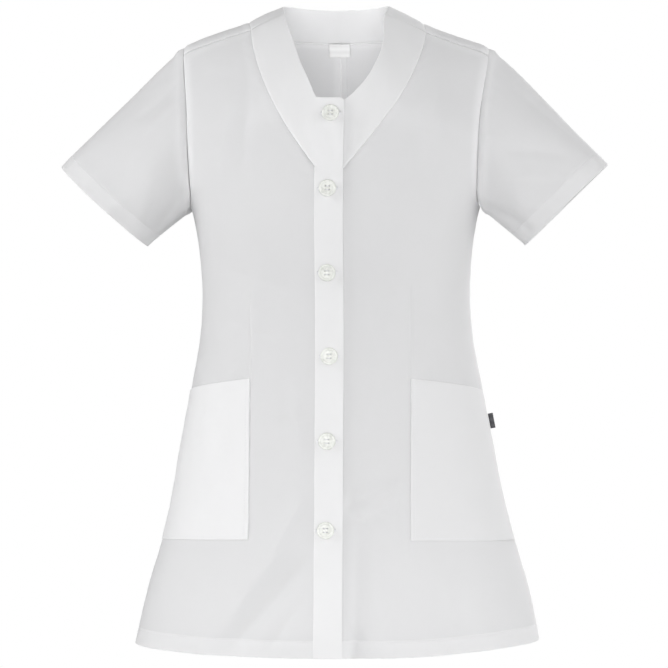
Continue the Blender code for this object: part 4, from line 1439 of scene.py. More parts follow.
    def part_seams(self, cloth: ClothGrid) -> None:
        """Leaves a hair's gap at the seams, and the slit's gap below them.

        Args:
            cloth: The panel.
        """
        z = cloth.points[:, -1, 2]
        by = np.where(z < self.cuts.slit_z - MM, self.slit_gap / 2, SEAM_GAP)[:, None]
        cloth.points[:, -1] += unit(cloth.points[:, -2] - cloth.points[:, -1]) * by
        cloth.points[-1] += unit(cloth.points[-2] - cloth.points[-1]) * SEAM_GAP
        cloth.points[:, 0] += unit(cloth.points[:, 1] - cloth.points[:, 0]) * SEAM_GAP

    def sewn(self, cloth: ClothGrid, name: str) -> None:
        """Stitches the hem and the slit edge of one panel.

        Args:
            cloth: The panel.
            name: The panel's name.
        """
        thread = Stitching()
        levels = self.levels()
        heights = (self.cuts.hem_z + self.hem_stitch, self.cuts.slit_z + self.slit_end)
        row, top = (float(np.interp(height, levels, np.arange(len(levels)))) for height in heights)
        thread.add_row(*line_at(cloth, row, self.form))
        sideways = cloth.crossed().flipped()
        across, _ = cloth.spans()
        from_side = (across[5, -1] - across[5])[::-1]
        column = float(np.interp(self.slit_stitch, from_side, np.arange(len(from_side))))
        line, normals = line_at(sideways, column, self.form)
        thread.add_row(line[3 : int(top)], normals[3 : int(top)])
        thread.finished(f"stitches_{name}", self.finishes.thread)

    def build(self) -> dict[str, ClothGrid]:
        """Makes the four panels.

        Returns:
            Their grids by name, for the pieces that lie on them.
        """
        grids = {}
        hem_rows = int(np.searchsorted(self.levels(), self.cuts.hem_z + self.hem_height))
        for face in Face:
            for side in Side:
                name = f"{face.value}_{side.word}"
                cloth = self.front_grid(side) if face is Face.FRONT else self.back_grid(side)
                self.part_seams(cloth)
                grids[name] = cloth
                hemmed = cloth.flipped().turned_in(hem_rows)
                ClothPiece(name, [hemmed], self.form).build(self.finishes.cloth)
                self.sewn(cloth, name)
        return grids


# ---- sleeves


@dataclass
class Sleeves:
    """The two short set-in sleeves, tubes from the armhole to a turned hem."""

    form: Form
    cuts: Cuts
    finishes: Finishes
    end: Place = (0.2769, 0.004, -0.2385)
    end_across: Place = (0.724, 0.0, 0.69)
    axis: Place = (0.69, 0.0, -0.724)
    half_across: float = 0.0695
    half_deep: float = 0.041
    leaves: SmoothTable = SmoothTable("turn x y z reach", (
        (0.0, 0.55, 0.0, -0.62, 0.24), (0.5, 0.87, 0.24, -0.42, 0.26), (1.0, 0.78, 0.0, -0.62, 0.16),
    ))
    tip_x: float = 0.18
    front_count: int = 62
    back_count: int = 70
    row_count: int = 26
    hem_height: float = 20 * MM
    # painted light: the share of the whiter doubled tone that the hem is painted with
    hem_white: float = 0.45
    ridge: SeamRelief = SeamRelief(
        dip=0.6 * MM, roll=1.9 * MM, roll_at=8 * MM, roll_width=5 * MM, pucker=0.4 * MM, seed=61
    )
    ripple: Ripple = Ripple(seed=62, shortest=50 * MM, longest=120 * MM, depth=0.5 * MM)
    belly_at: tuple[float, float] = (0.06, 0.062)
    belly_size: float = 30 * MM
    girth: float = 0.37
    ripple_radius: float = 60 * MM
    curve_steps: int = 160
    hem_keep: float = 0.3

    def ring(self) -> Pairs:
        """(angle, fall) round the armhole: armpit, up the front, over the shoulder, down the back."""
        front = self.cuts.armhole(np.linspace(0, 1, self.front_count))
        back = self.cuts.armhole(np.linspace(0, 1, self.back_count), -1)
        return np.concatenate([front, back[::-1][1:]])

    def leave(self, starts: Grid) -> tuple[Grid, Grid]:
        """Way in which the sleeve leaves each point of the armhole, and how far it keeps to it.

        Args:
            starts: Points of the armhole.

        Returns:
            Directions, and shares of the way to the hem.
        """
        tip = float(self.form.shoulder.read("top", np.array(self.tip_x)))
        turn = np.clip((starts[:, 2] - self.cuts.armpit_z) / (tip - self.cuts.armpit_z), 0, 1)
        way = np.stack([self.leaves.read(c, turn) for c in ("x", "y", "z")], -1)
        way[:, 1] *= np.where(starts[:, 1] < 0, -1, 1)
        way[:, 1] *= np.minimum(np.abs(starts[:, 1]) / 0.03, 1.0)
        return unit(way), self.leaves.read("reach", turn)

    def grid(self, side: Side) -> ClothGrid:
        """One side's sleeve, worked out in the place of the wearer's left one.

        Args:
            side: Whose folds it has.

        Returns:
            Its cloth, from the armhole to the hem.
        """
        starts = self.form.point(self.ring(), Side.LEFT)
        share = reach_of(starts) / reach_of(starts)[-1]
        at_top = share[int(np.argmax(starts[:, 2]))]
        turn = math.tau * np.where(
            share < at_top, 0.5 * share / at_top, 0.5 + 0.5 * (share - at_top) / (1 - at_top)
        )
        ends = (
            np.array(self.end)
            - np.array(self.end_across) * self.half_across * np.cos(turn)[:, None]
            - np.array((0.0, 1.0, 0.0)) * self.half_deep * np.sin(turn)[:, None]
        )
        way, keep = self.leave(starts)
        length = np.linalg.norm(ends - starts, axis=1)
        first = starts + way * (length * keep)[:, None]
        last = ends - np.array(self.axis) * (length * self.hem_keep)[:, None]
        knots = (starts, first, last, ends)
        steps = np.linspace(0, 1, self.curve_steps)
        curve = self.curves(knots, steps[:, None])
        reach = np.cumsum(np.linalg.norm(np.diff(curve, axis=0), axis=2), axis=0)
        reach = np.concatenate([np.zeros((1, len(starts))), reach])
        rows = self.row_places(reach[-1])
        t = np.stack([np.interp(row, far, steps) for row, far in zip(rows.T, reach.T)], axis=1)
        points = self.curves(knots, t)
        cloth = ClothGrid(points, self.directions(points), np.zeros(points.shape[:2]))
        self._lay(cloth, share, SLEEVE_FOLDS[side])
        self._belly(cloth, share, SLEEVE_BELLIES[side])
        return cloth

    def _belly(self, cloth: ClothGrid, share: Grid, depth: float) -> None:
        """Lets the front of the sleeve hang forward beside the body, turning in above the armpit.

        Args:
            cloth: The sleeve.
            share: Each column's share of the way round the armhole.
            depth: How far forward it hangs at most.
        """
        _, up = cloth.spans()
        x = np.minimum(share, 1 - share)[None, :] * self.girth
        away = ((x - self.belly_at[0]) ** 2 + (up - self.belly_at[1]) ** 2) / self.belly_size**2
        in_front = ease(-cloth.points[..., 1] / 0.02)
        cloth.points[..., 1] -= depth * np.exp(-away) * in_front * ease(up / 0.03)

    def curves(self, knots: Sequence[Grid], t: Grid) -> Grid:
        """Points at shares t of smooth curves, one for each column.

        Args:
            knots: Starts, where the curves head for at first, where they come from at last, and ends.
            t: Shares.

        Returns:
            The points.
        """
        t, (a, b, c, d) = t[..., None], knots
        u = 1 - t
        return a * u**3 + b * 3 * u * u * t + c * 3 * u * t * t + d * t**3

    def row_places(self, length: Grid) -> Grid:
        """Distances down each column's line: by size at the armhole and the hem, even between.

        Args:
            length: Each column's length.

        Returns:
            A row of distances for each row of the sleeve.
        """
        near = np.array((0.0, 0.8, 1.8, 3.2, 5.0, 7.5, 10.0)) * MM
        by_hem = (-20, -18.8, -17, -13, -8.5, -5, -3, -2, -1.2, -0.4, 0.4, 1.4, 3.0)
        end = self.hem_height + np.array(by_hem) * MM
        between = np.linspace(0, 1, self.row_count)[1:-1]
        low = np.broadcast_to(near[:, None], (len(near), len(length)))
        high = length - end[::-1][:, None]
        middle = mix(low[-1], high[0], between[:, None])
        return np.concatenate([low, middle, high])

    def directions(self, points: Grid) -> Grid:
        """Outward directions of the tube.

        Args:
            points: The tube's grid, whose last column is its first one.

        Returns:
            The directions.
        """
        down = np.gradient(points, axis=0)
        around = np.roll(points[:, :-1], -1, axis=1) - np.roll(points[:, :-1], 1, axis=1)
        around = np.concatenate([around, around[:, :1]], axis=1)
        return unit(np.cross(down, around))

    def _lay(self, cloth: ClothGrid, share: Grid, folds: Sequence[Fold]) -> None:
        """Puts the armhole's roll, the folds and the hem into the sleeve's cloth.

        Args:
            cloth: The sleeve.
            share: Each column's share of the way round the armhole.
            folds: Its folds.
        """
        across, up = cloth.spans()
        x, z = np.broadcast_arrays(share[None, :] * self.girth, up)
        round_it = [turned(math.tau * share) * self.ripple_radius + z * 0 for turned in (np.cos, np.sin)]
        push = self.ridge.push(up, across) - self.ripple.push(np.stack([*round_it, z], -1))
        for fold in folds:
            pushes = (fold.push(x + k * self.girth, z) for k in (-1, 0, 1))
            push = push + sum(pushes) * ease(up / (9 * MM))
        from_end = up[-1:] - up
        from_stitches = from_end - self.hem_height
        wave = Ripple(63, 14 * MM, 34 * MM, 0.25 * MM, 8).push(across[..., None])
        push = push + 0.35 * MM * bell(from_stitches, 1.1 * MM) + wave * bell(from_stitches, 8 * MM)
        push[:, -1] = push[:, 0]
        cloth.pushed(push)
        # painted light: the hem and the armhole's turnings are painted with shares of the whiter doubled tone
        cloth.double = self.hem_white * ease((self.hem_height - from_end) / (1.2 * MM) + 0.5)
        cloth.double = np.maximum(cloth.double, 0.35 * bell(up, 9 * MM, 4))
        cloth.points[0] += unit(cloth.points[1] - cloth.points[0]) * SEAM_GAP

    def build(self) -> None:
        """Makes both sleeves and their hem stitches."""
        for side in Side:
            drawn = self.grid(side)
            _, up = drawn.spans()
            middle = up[:, up.shape[1] // 2]
            hem_rows = int(np.sum(middle[-1] - middle < self.hem_height))
            stitched = middle[-1] - self.hem_height + 1.5 * MM
            row = float(np.interp(stitched, middle, np.arange(len(up))))
            flip = np.array((float(side.value), 1.0, 1.0))
            cloth = replace(drawn, points=drawn.points * flip, normals=drawn.normals * flip)
            name = f"sleeve_{side.word}"
            ClothPiece(name, [cloth.turned_in(hem_rows)], self.form).build(self.finishes.cloth)
            thread = Stitching()
            thread.add_row(*line_at(cloth, row, self.form))
            thread.finished(f"stitches_{name}", self.finishes.thread)


# ---- neck bands and the button strip


@dataclass
class FrontStrip:
    """The strip that the buttons pass through, and the neck bands that run into it."""

    form: Form
    cuts: Cuts
    body: Body
    finishes: Finishes
    lift: float = LAYER_STEP
    band_ease: float = 0.5 * MM
    beside: float = 0.04
    band_roll: float = 1.2 * MM
    corner: float = 5 * MM
    band_cells: int = 13
    # painted light: the shares of the whiter doubled tone that the bands and the strip are painted with
    band_white: float = 0.72
    strip_white: float = 0.85
    fillet: float = 1 * MM
    joined_flat: tuple[float, float] = (0.118, 0.8)

    def strip_lift(self, points: Grid) -> Grid:
        """The strip rises a little towards the neck, clear of the band's seam."""
        higher = ease((points[..., 2] - self.cuts.armpit_z) / 0.03)
        return self.lift + self.band_ease * higher

    def beside_strip(self, points: Grid) -> Grid:
        """The right band comes up level with the strip that it runs into."""
        half = self.form.strip_half
        near = (self.beside - np.abs(points[..., 0])) / (self.beside - half)
        return (self.lift + self.band_ease) * ease(near)

    def band_shares(self) -> Grid:
        """Places across a band from its seam to its free edge, closer together at both."""
        deep = self.cuts.v_bottom_z - self.cuts.strip_seam_z
        corner = [1 - e * MM / deep for e in (1.3, 2.4, 3.6, 5.0, 8.0)]
        return spaced(0.0, 1.0, 1 / self.band_cells, [0.03, 0.07, *corner])

    def strip_grid(self) -> tuple[ClothGrid, int]:
        """The button strip from its foot up to the bottom of the V.

        Returns:
            The strip, and the number of the row at which the neck band's seam meets it.
        """
        top, foot, half = self.cuts.v_bottom_z, self.cuts.hem_z, self.form.strip_half
        seam = self.cuts.strip_seam_z
        b = self.band_shares()
        lower = spaced(foot, seam, CELL, [foot + 1.2 * MM])
        z = np.concatenate([lower, mix(seam, top, b[1:])])
        into_corner = np.clip(z - top + self.corner, 0, None)
        rounded = np.sqrt(np.clip(self.corner**2 - into_corner**2, 0, None))
        left_x = np.where(z > top - self.corner, half - self.corner + rounded, half)
        share = spaced(0.0, 1.0, 0.085, [0.02, 0.05, 0.95, 0.98])
        x = mix(-left_x[:, None], half, share[None, :])
        above = np.clip((z - seam) / (top - seam), 0, 1)
        z = z[:, None] + self.fillet * above[:, None] ** 8 * share[None, :] ** 7
        points, normals = self.form.skin(self.form.level_pair(x, z), Side.RIGHT, self.strip_lift)
        return ClothGrid(points, normals, np.full(x.shape, self.strip_white)), len(lower) - 1

    def build_strip(self) -> ClothGrid:
        """Makes the button strip and the neck band that runs into it as one cloth.

        Returns:
            The strip's outer face, for what is sewn to it.
        """
        strip, meeting = self.strip_grid()
        across, up = strip.spans()
        edge = np.minimum(across, across[:, -1:] - across)
        wave = Ripple(71, 12 * MM, 46 * MM, 0.22 * MM, 10).push(up[..., None])
        below = ease((meeting - np.arange(len(up)))[:, None] / 6)
        below = np.where(across < 0.5 * across[:, -1:], 1.0, below)
        strip.pushed(wave * bell(edge, 7 * MM) * below)
        at = spaced(3.0, self.last_row, 0.16, [3.04, self.last_row - 0.1])
        band = self.dressed_band("neck_band_right", self.band_grid(Side.RIGHT, at))
        gap = strip.points[meeting:, -1] - band.points[:, 0]
        band.points = band.points + gap[:, None] * ease((4.2 - at) / 1.2)[None, :, None]
        # painted light: the band is painted as white as the strip where it runs into it
        whiter = ease((6.0 - at) / 3.0)[None, :]
        band.double = mix(band.double, self.strip_white, whiter)
        sideways = strip.crossed()
        lower = sideways.changed(lambda part: part[:, : meeting + 1]).turned_in(3).flipped().turned_in(3)
        upper = sideways.changed(lambda part: part[:, meeting:]).flipped().turned_in(3)
        ClothPiece(
            "placket",
            [lower, upper, band.turned_in(len(band.points) - 2)],
            self.form,
            nodes=("placket", "neck_band_right"),
            flat=self.joined_flat,
        ).build(self.finishes.cloth)
        return strip

    @property
    def last_row(self) -> float:
        """The row number of the shoulder seam in the neck's tables."""
        return float(len(self.cuts.neck_rows(Side.LEFT)) - 1)

    def band_grid(self, side: Side, at: Grid) -> ClothGrid:
        """A front neck band from its seam to the free edge.

        Args:
            side: The wearer's side.
            at: Row numbers of the neck's tables.

        Returns:
            Its cloth.
        """
        lift = self.body.under_lap if side is Side.LEFT else self.beside_strip
        seam, normals = self.form.skin(self.cuts.neck_seam(side, at), side, lift)
        edge, _ = self.form.skin(self.cuts.neck_edge(side, at), side, lift)
        if side is Side.RIGHT:
            self._meet_strip(seam, edge, normals, at)
        return self.between(seam, normals, edge, self.band_roll * ease((at - 3) / 3))

    def _meet_strip(self, seam: Grid, edge: Grid, normals: Grid, at: Grid) -> None:
        """Ends the right band along the button strip, by sliding its first rows onto that line.

        Args:
            seam: Points of the band's seam.
            edge: Points of its free edge.
            normals: Outward directions.
            at: Row numbers.
        """
        half = self.form.strip_half + 0.02 * MM
        pairs = self.form.level_pair(half, [self.cuts.strip_seam_z, self.cuts.v_bottom_z])
        ends, ways = self.form.skin(pairs, Side.RIGHT, self.beside_strip)
        slide = ease(4.0 - at)[:, None]
        seam[:] = mix(seam, ends[0] + (seam - seam[0]), slide)
        edge[:] = mix(edge, ends[1] + (edge - edge[0]), slide)
        normals[:] = unit(mix(normals, ways[0], slide))

    def between(self, seam: Grid, normals: Grid, edge: Grid, roll: Grid) -> ClothGrid:
        """Cloth across from a seam to a free edge, with a soft roll between.

        Args:
            seam: Points of the seam.
            normals: Outward directions there.
            edge: Points of the free edge.
            roll: How high it rolls, column by column.

        Returns:
            The cloth, from the seam up.
        """
        b = self.band_shares()
        run = np.gradient(edge, axis=0)
        own = unit(np.cross(run, edge - seam))
        own *= np.where((own * normals).sum(-1) < 0, -1.0, 1.0)[:, None]
        ways = unit(mix(normals[None], own[None], b[:, None, None]))
        points = mix(seam[None], edge[None], b[:, None, None])
        points = points + normals[None] * (np.sin(math.pi * b)[:, None] * roll[None])[..., None]
        return ClothGrid(points, ways, np.full(points.shape[:2], self.band_white))

    def dressed_band(self, name: str, cloth: ClothGrid) -> ClothGrid:
        """Puts the seam and the slight unevenness into a band's cloth.

        Args:
            name: The band's name.
            cloth: The band.

        Returns:
            The same cloth.
        """
        across, up = cloth.spans()
        seed = 80 + len(name)
        cloth.pushed(SeamRelief(seed=seed, dip=0.35 * MM, roll=0.25 * MM).push(up, across))
        lie = Ripple(seed, 40 * MM, 110 * MM, 0.45 * MM, 8).push(across[..., None])
        cloth.pushed(lie * ease(up / (20 * MM)))
        return cloth

    def build_bands(self) -> None:
        """Makes the wearer's left band and the back one, with their facings."""
        at = spaced(1.0, self.last_row, 0.16, [self.last_row - 0.1])
        grids = {"neck_band_left": self.band_grid(Side.LEFT, at), "neck_band_back": self.back_band_grid()}
        for name, cloth in grids.items():
            faced = self.dressed_band(name, cloth).turned_in(len(cloth.points) - 2)
            ClothPiece(name, [faced], self.form).build(self.finishes.cloth)

    def back_band_grid(self) -> ClothGrid:
        """The back neck band, standing round the back of the neck."""
        halves, table = [], self.cuts.back_neck
        for side in Side:
            rows = self.cuts.back_neck_rows(side)
            at = spaced(0.0, float(len(rows) - 1), 0.25, [len(rows) - 1.1])
            seam, normals = self.form.skin(path_through(rows, at), side)
            edge_rows = np.stack([table.column(c) for c in ("edge_x", "edge_y", "edge_z")], -1)
            edge_rows[:, 0] *= side.value
            last = self.cuts.neck_edge(side, np.array([self.last_row]))
            top, _ = self.form.skin(last, side)
            edge = path_through(np.concatenate([edge_rows, top]), at)
            halves.append((seam, normals, edge))
        right, left = halves
        joined = [np.concatenate([r[::-1][:-1], l]) for r, l in zip(right, left)]
        return self.between(*joined, np.full(len(joined[0]), self.band_roll))


# ---- pockets


@dataclass
class Pockets:
    """Two patch pockets on the fronts, caught in the side seams, their mouths standing off a little."""

    form: Form
    cuts: Cuts
    body: Body
    finishes: Finishes
    side_share: float = 0.88
    top_inner: float = -0.444
    top_outer: float = -0.459
    bottom_inner: float = -0.63
    bottom_outer: float = -0.637
    lie: float = 1.25 * MM
    mouth_lift: float = 1.2 * MM
    mouth_turning: float = 24 * MM
    # painted light: the pockets are painted whiter by different shares, the wearer's right one lighter, on
    # the side the light comes from
    left_white: float = 0.45
    right_white: float = 0.88
    stitched_row: float = 2.6

    def grid(self, side: Side) -> ClothGrid:
        """One pocket from its foot to its mouth.

        Args:
            side: The wearer's side.

        Returns:
            Its cloth.
        """
        p = spaced(0.0, 1.0, 0.035, [0.008, 0.02, 0.98, 0.992])
        r = spaced(0.0, 1.0, 0.021, [0.005, 0.012, 0.99, 0.996])
        bottom = mix(self.bottom_inner, self.bottom_outer, p)[None, :]
        top = mix(self.top_inner, self.top_outer, p)[None, :]
        z = mix(bottom, top, r[:, None])
        s = np.broadcast_to(2 + self.side_share * p[None, :], z.shape)
        lift = self.body.under_lap if side is Side.LEFT else 0.0
        points, normals = self.form.skin(self.body.front_pair(s, z), side, lift)
        open_by = ease((z - self.top_outer) / 0.07 + 1) * np.sin(math.pi * p)[None, :]
        # painted light, more on the wearer's right pocket than on the left one
        white = self.right_white if side is Side.RIGHT else self.left_white
        cloth = ClothGrid(points, normals, np.full(z.shape, white))
        cloth.pushed(-(self.lie + self.mouth_lift * open_by))
        across, up = cloth.spans()
        edge = np.minimum(np.minimum(across, across[:, -1:] - across), up)
        wave = Ripple(91 + side.value, 11 * MM, 36 * MM, 0.25 * MM, 9).push((across + up)[..., None])
        cloth.pushed(wave * bell(edge, 8 * MM, 1) + 0.35 * MM * bell(edge, 1.2 * MM))
        return cloth

    def build(self) -> None:
        """Makes both pockets with their turned mouths and edge stitches."""
        for side in Side:
            cloth = self.grid(side)
            name = f"pocket_{side.word}"
            _, up = cloth.spans()
            rows = int(np.sum(up[-1, 3] - up[:, 3] < self.mouth_turning))
            ClothPiece(name, [cloth.turned_in(rows)], self.form).build(self.finishes.cloth)
            thread = Stitching()
            thread.add_row(*line_at(cloth, self.stitched_row, self.form))
            side_line, side_normals = line_at(cloth.crossed(), self.stitched_row, self.form)
            thread.add_row(side_line[3:-1], side_normals[3:-1])
            thread.finished(f"stitches_{name}", self.finishes.thread)


# ---- buttons


@dataclass
class Buttons:
    """Six four-hole buttons down the strip, each sewn on with thread through its buttonhole."""

    form: Form
    finishes: Finishes
    strip: ClothGrid
    radius: float = 10 * MM
    thick: float = 3 * MM
    rim: float = 2.3 * MM
    well: float = 1.05 * MM
    hole_radius: float = 1 * MM
    hole_apart: float = 2.2 * MM
    stand_off: float = 0.4 * MM
    steps: int = 64
    hole_sides: int = 20
    hole_half: float = 10.6 * MM
    lips: float = 0.9 * MM
    lip_stitches: int = 41
    bar_stitches: int = 5
    places: tuple[tuple[float, float], ...] = (
        (0.001, -0.136), (-0.001, -0.2244), (-0.002, -0.3211), (0.0, -0.4178), (-0.002, -0.5158),
        (-0.003, -0.6179),
    )

    def profile(self) -> list[tuple[float, float]]:
        """Half section from the middle of the front face to the middle of the back one."""
        r, t, rim, well = self.radius, self.thick, self.rim, self.well
        return [
            (0.0, t / 2 - well), (r - rim - 1.8 * MM, t / 2 - well),
            (r - rim - 0.7 * MM, t / 2 - well * 0.72), (r - rim, t / 2 - 0.14 * MM), (r - rim * 0.62, t / 2),
            (r - rim * 0.3, t / 2 - 0.1 * MM), (r - 0.3 * MM, t / 2 - 0.45 * MM), (r, t / 2 - 1.05 * MM),
            (r - 0.1 * MM, -t / 2 + 0.85 * MM), (r - 0.75 * MM, -t / 2 + 0.25 * MM), (r - 2 * MM, -t / 2),
            (0.0, -t / 2),
        ]

    def blank(self) -> Mesh:
        """The turned button before its holes: a spun half section."""
        bm = bmesh.new()
        verts = [bm.verts.new((x, 0.0, z)) for x, z in self.profile()]
        edges = [bm.edges.new(pair) for pair in zip(verts, verts[1:])]
        bmesh.ops.spin(
            bm,
            geom=verts + edges,
            cent=(0, 0, 0),
            axis=(0, 0, 1),
            angle=math.tau,
            steps=self.steps,
            use_merge=True,
        )
        bmesh.ops.remove_doubles(bm, verts=bm.verts, dist=SAME_PLACE)
        bmesh.ops.recalc_face_normals(bm, faces=bm.faces)
        return mesh_of(bm, "button_blank")

    def drilled(self) -> Mesh:
        """The button with its four holes cut through."""
        drills = bmesh.new()
        for x, y in ((-1, -1), (-1, 1), (1, -1), (1, 1)):
            bmesh.ops.create_cone(
                drills,
                cap_ends=True,
                segments=self.hole_sides,
                radius1=self.hole_radius,
                radius2=self.hole_radius,
                depth=4 * self.thick,
                matrix=Matrix.Translation((x * self.hole_apart, y * self.hole_apart, 0)),
            )
        blank = bpy.data.objects.new("button_blank", self.blank())
        drill = bpy.data.objects.new("button_drill", mesh_of(drills, "button_drill"))
        for helper in (blank, drill):
            show(helper)
        cut = blank.modifiers.new("holes", "BOOLEAN")
        cut.operation, cut.object, cut.solver = "DIFFERENCE", drill, "EXACT"
        bpy.context.view_layer.update()
        graph = bpy.context.evaluated_depsgraph_get()
        mesh = bpy.data.meshes.new_from_object(blank.evaluated_get(graph))
        for helper in (blank, drill):
            bpy.data.objects.remove(helper)
        return mesh

    def seat(self, x: float, z: float) -> tuple[Matrix, Vector]:
        """Where a button sits on the strip: its placing, and the way out of the strip.

        Args:
            x: Distance from the middle plane.
            z: Height.

        Returns:
            The placing, and the direction.
        """
        flat = self.strip.points.reshape(-1, 3)
        settled = self.form.settled(flat)
        near = np.argsort((flat[:, 0] - x) ** 2 + (flat[:, 2] - z) ** 2)[:12]
        out = Vector(unit(self.strip.normals.reshape(-1, 3)[near].mean(0)))
        at = Vector((x, float(settled[near, 1].min()), float(z)))
        turn = Vector((0, 0, 1)).rotation_difference(out).to_matrix().to_4x4()
        return Matrix.Translation(at + out * (self.stand_off + self.thick / 2)) @ turn, out

    def cross_ends(self) -> list[tuple[Place, ...]]:
        """Ends of the two bars of thread between the holes, in the button's own place."""
        level, far = self.thick / 2 - self.well + 0.12 * MM, self.hole_apart * 1.05
        across = [y * self.hole_apart + shift * MM for y in (-1, 1) for shift in (-0.35, 0.0, 0.35)]
        return [((-far, y, level), (far, y, level)) for y in across]

    def buttonhole_ends(self) -> list[tuple[Place, ...]]:
        """Ends of the close stitches round a horizontal slit, which shows past the button's edge."""
        half, down = self.hole_half, -(self.thick / 2 + self.stand_off)
        lips = [
            tuple((x, lip * (self.lips + e * MM), down) for e in (-0.55, 0.55))
            for x in np.linspace(-half, half, self.lip_stitches)
            for lip in (-1, 1)
        ]
        bars = [end * (half + 0.35 * MM * (k - 1)) for end in (-1, 1) for k in range(self.bar_stitches)]
        return lips + [((x, -2 * MM, down), (x, 2 * MM, down)) for x in bars]

    def build(self) -> None:
        """Makes the buttons, their threads and buttonholes."""
        shape = self.drilled()
        for number, (x, z) in enumerate(self.places, 1):
            place, out = self.seat(x, z)
            mesh = shape.copy()
            mesh.transform(place)
            mesh.shade_smooth()
            mesh.set_sharp_from_angle(angle=math.radians(40))
            mesh.materials.clear()
            mesh.materials.append(self.finishes.button)
            name = f"button_{number}"
            place_piece(linked(f"{name}_resin", mesh, self.finishes.button), "button", name)
            thread = Stitching(wide=0.5 * MM, proud=0.0)
            for ends in self.cross_ends() + self.buttonhole_ends():
                thread.add_one(*(np.array(place @ Vector(end)) for end in ends), np.array(out))
            thread.finished(f"thread_{name}", self.finishes.thread)


# ---- labels and the seam's turning


@dataclass
class InsideBack:
    """What shows on the inside of the back neck: the pressed seam turning and a blank label."""

    form: Form
    finishes: Finishes
    back: ClothGrid
    turning_width: float = 8 * MM
    turning_top: float = -0.0365
    label_x: float = -0.001
    label_width: float = 0.026
    label_top: float = -0.0355
    label_bottom: float = -0.051
    label_stand: float = 4 * MM

    def turning(self) -> None:
        """The centre back seam's turning, lying towards the wearer's left."""
        rows = int(np.argmax(self.back.points[:, 0, 2] > self.turning_top))
        start, ways = self.back.points[:rows, 0], self.back.normals[:rows, 0]
        step = unit(self.back.points[:rows, 3] - start)
        shares = np.array([0.0, 0.12, 0.35, 0.6, 0.85, 0.96, 1.0])
        deep = CLOTH_THICK + LAYER_AIR + 0.5 * MM * shares**2
        grid = (
            start[:, None]
            + step[:, None] * (shares * self.turning_width)[None, :, None]
            - ways[:, None] * deep[None, :, None]
        )
        normals = np.broadcast_to(-ways[:, None], grid.shape)
        wave = Ripple(101, 14 * MM, 50 * MM, 0.3 * MM, 8).push(grid[..., 2:])
        grid = grid + normals * (np.abs(wave) * shares**2)[..., None]
        # painted light: the turning is painted in the whiter tone of doubled cloth
        cloth = ClothGrid(grid + normals * CLOTH_THICK, normals, np.ones(grid.shape[:2]))
        ClothPiece("back_seam_turning", [cloth], self.form).build(self.finishes.cloth)

    def label(self) -> None:
        """The blank label, hanging from the band's seam with its ends turned under."""
        x = np.linspace(-0.5, 0.5, 15) * self.label_width + self.label_x
        z = np.linspace(self.label_top, self.label_bottom, 12)
        x, z = np.meshgrid(x, z)
        pairs = self.form.level_pair(np.abs(x), z, -1)
        y = self.form.point(pairs, Side.LEFT)[..., 1]
        curl = (z - self.label_top) / (self.label_bottom - self.label_top)
        bow = 0.6 * MM * np.sin(math.pi * curl) + 0.5 * MM * curl**2 * np.cos(x * 160)
        points = np.stack([x, y - self.label_stand - bow, z], -1)
        normals = np.zeros(points.shape)
        normals[..., 1] = -1.0
        cloth = ClothGrid(points, normals, np.ones(x.shape)).turned_in(4, depth=1 * MM)
        piece = ClothPiece("size_label", [cloth], self.form, slot="label", thick=0.4 * MM)
        piece.build(self.finishes.label)

    def build(self) -> None:
        """Makes the turning and the label."""
        self.turning()
        self.label()


@dataclass
class SideTab:
    """The blank dark tab in the wearer's left side seam: a loop of tape, pressed flat."""

    form: Form
    finishes: Finishes
    z: float = -0.496
    height: float = 0.018
    reach: float = 0.006
    thick: float = 1.2 * MM
    lean: float = 11.0
    tape_thick: float = 0.35 * MM

    def build(self) -> None:
        """Bends a strip of tape round its fold and sets it into the seam."""
        half, near = self.thick / 2 - 0.1 * MM, 0.25 * self.reach
        turns = np.radians(np.linspace(0, 180, 9))
        bend = [(self.reach - half + half * math.sin(a), half * math.cos(a)) for a in turns]
        flat = np.array([(0.0, half * 0.7), (near, half), *bend, (near, -half), (0.0, -half * 0.7)])
        up = np.linspace(-self.height / 2, self.height / 2, 9)[:, None]
        side_x = float(self.form.half_width(np.array(self.z))) + 0.1 * MM
        turn = math.radians(self.lean)
        x = flat[None, :, 0] * math.cos(turn) - up * math.sin(turn)
        z = flat[None, :, 0] * math.sin(turn) + up * math.cos(turn)
        points = np.stack([side_x + x, np.broadcast_to(flat[:, 1], x.shape), self.z + z], -1)
        run = np.gradient(flat, axis=0)
        normals = unit(np.stack([-run[:, 1], run[:, 0], run[:, 0] * 0], -1))
        cloth = ClothGrid(points, np.broadcast_to(normals[None], points.shape), np.ones(x.shape))
        piece = linked("side_tab_tape", sheet_mesh("side_tab", [cloth], self.form), self.finishes.tab)
        thicken(piece, self.tape_thick)
        place_piece(piece, "tab", "side_tab")


# ---- the studio


@dataclass(frozen=True)
class Lamp:
    """A square soft light and the place that it is aimed at, at first the middle of the tunic."""

    name: str
    place: Place
    size: float
    power: float
    aim: Place = (0.0, 0.0, -0.392)


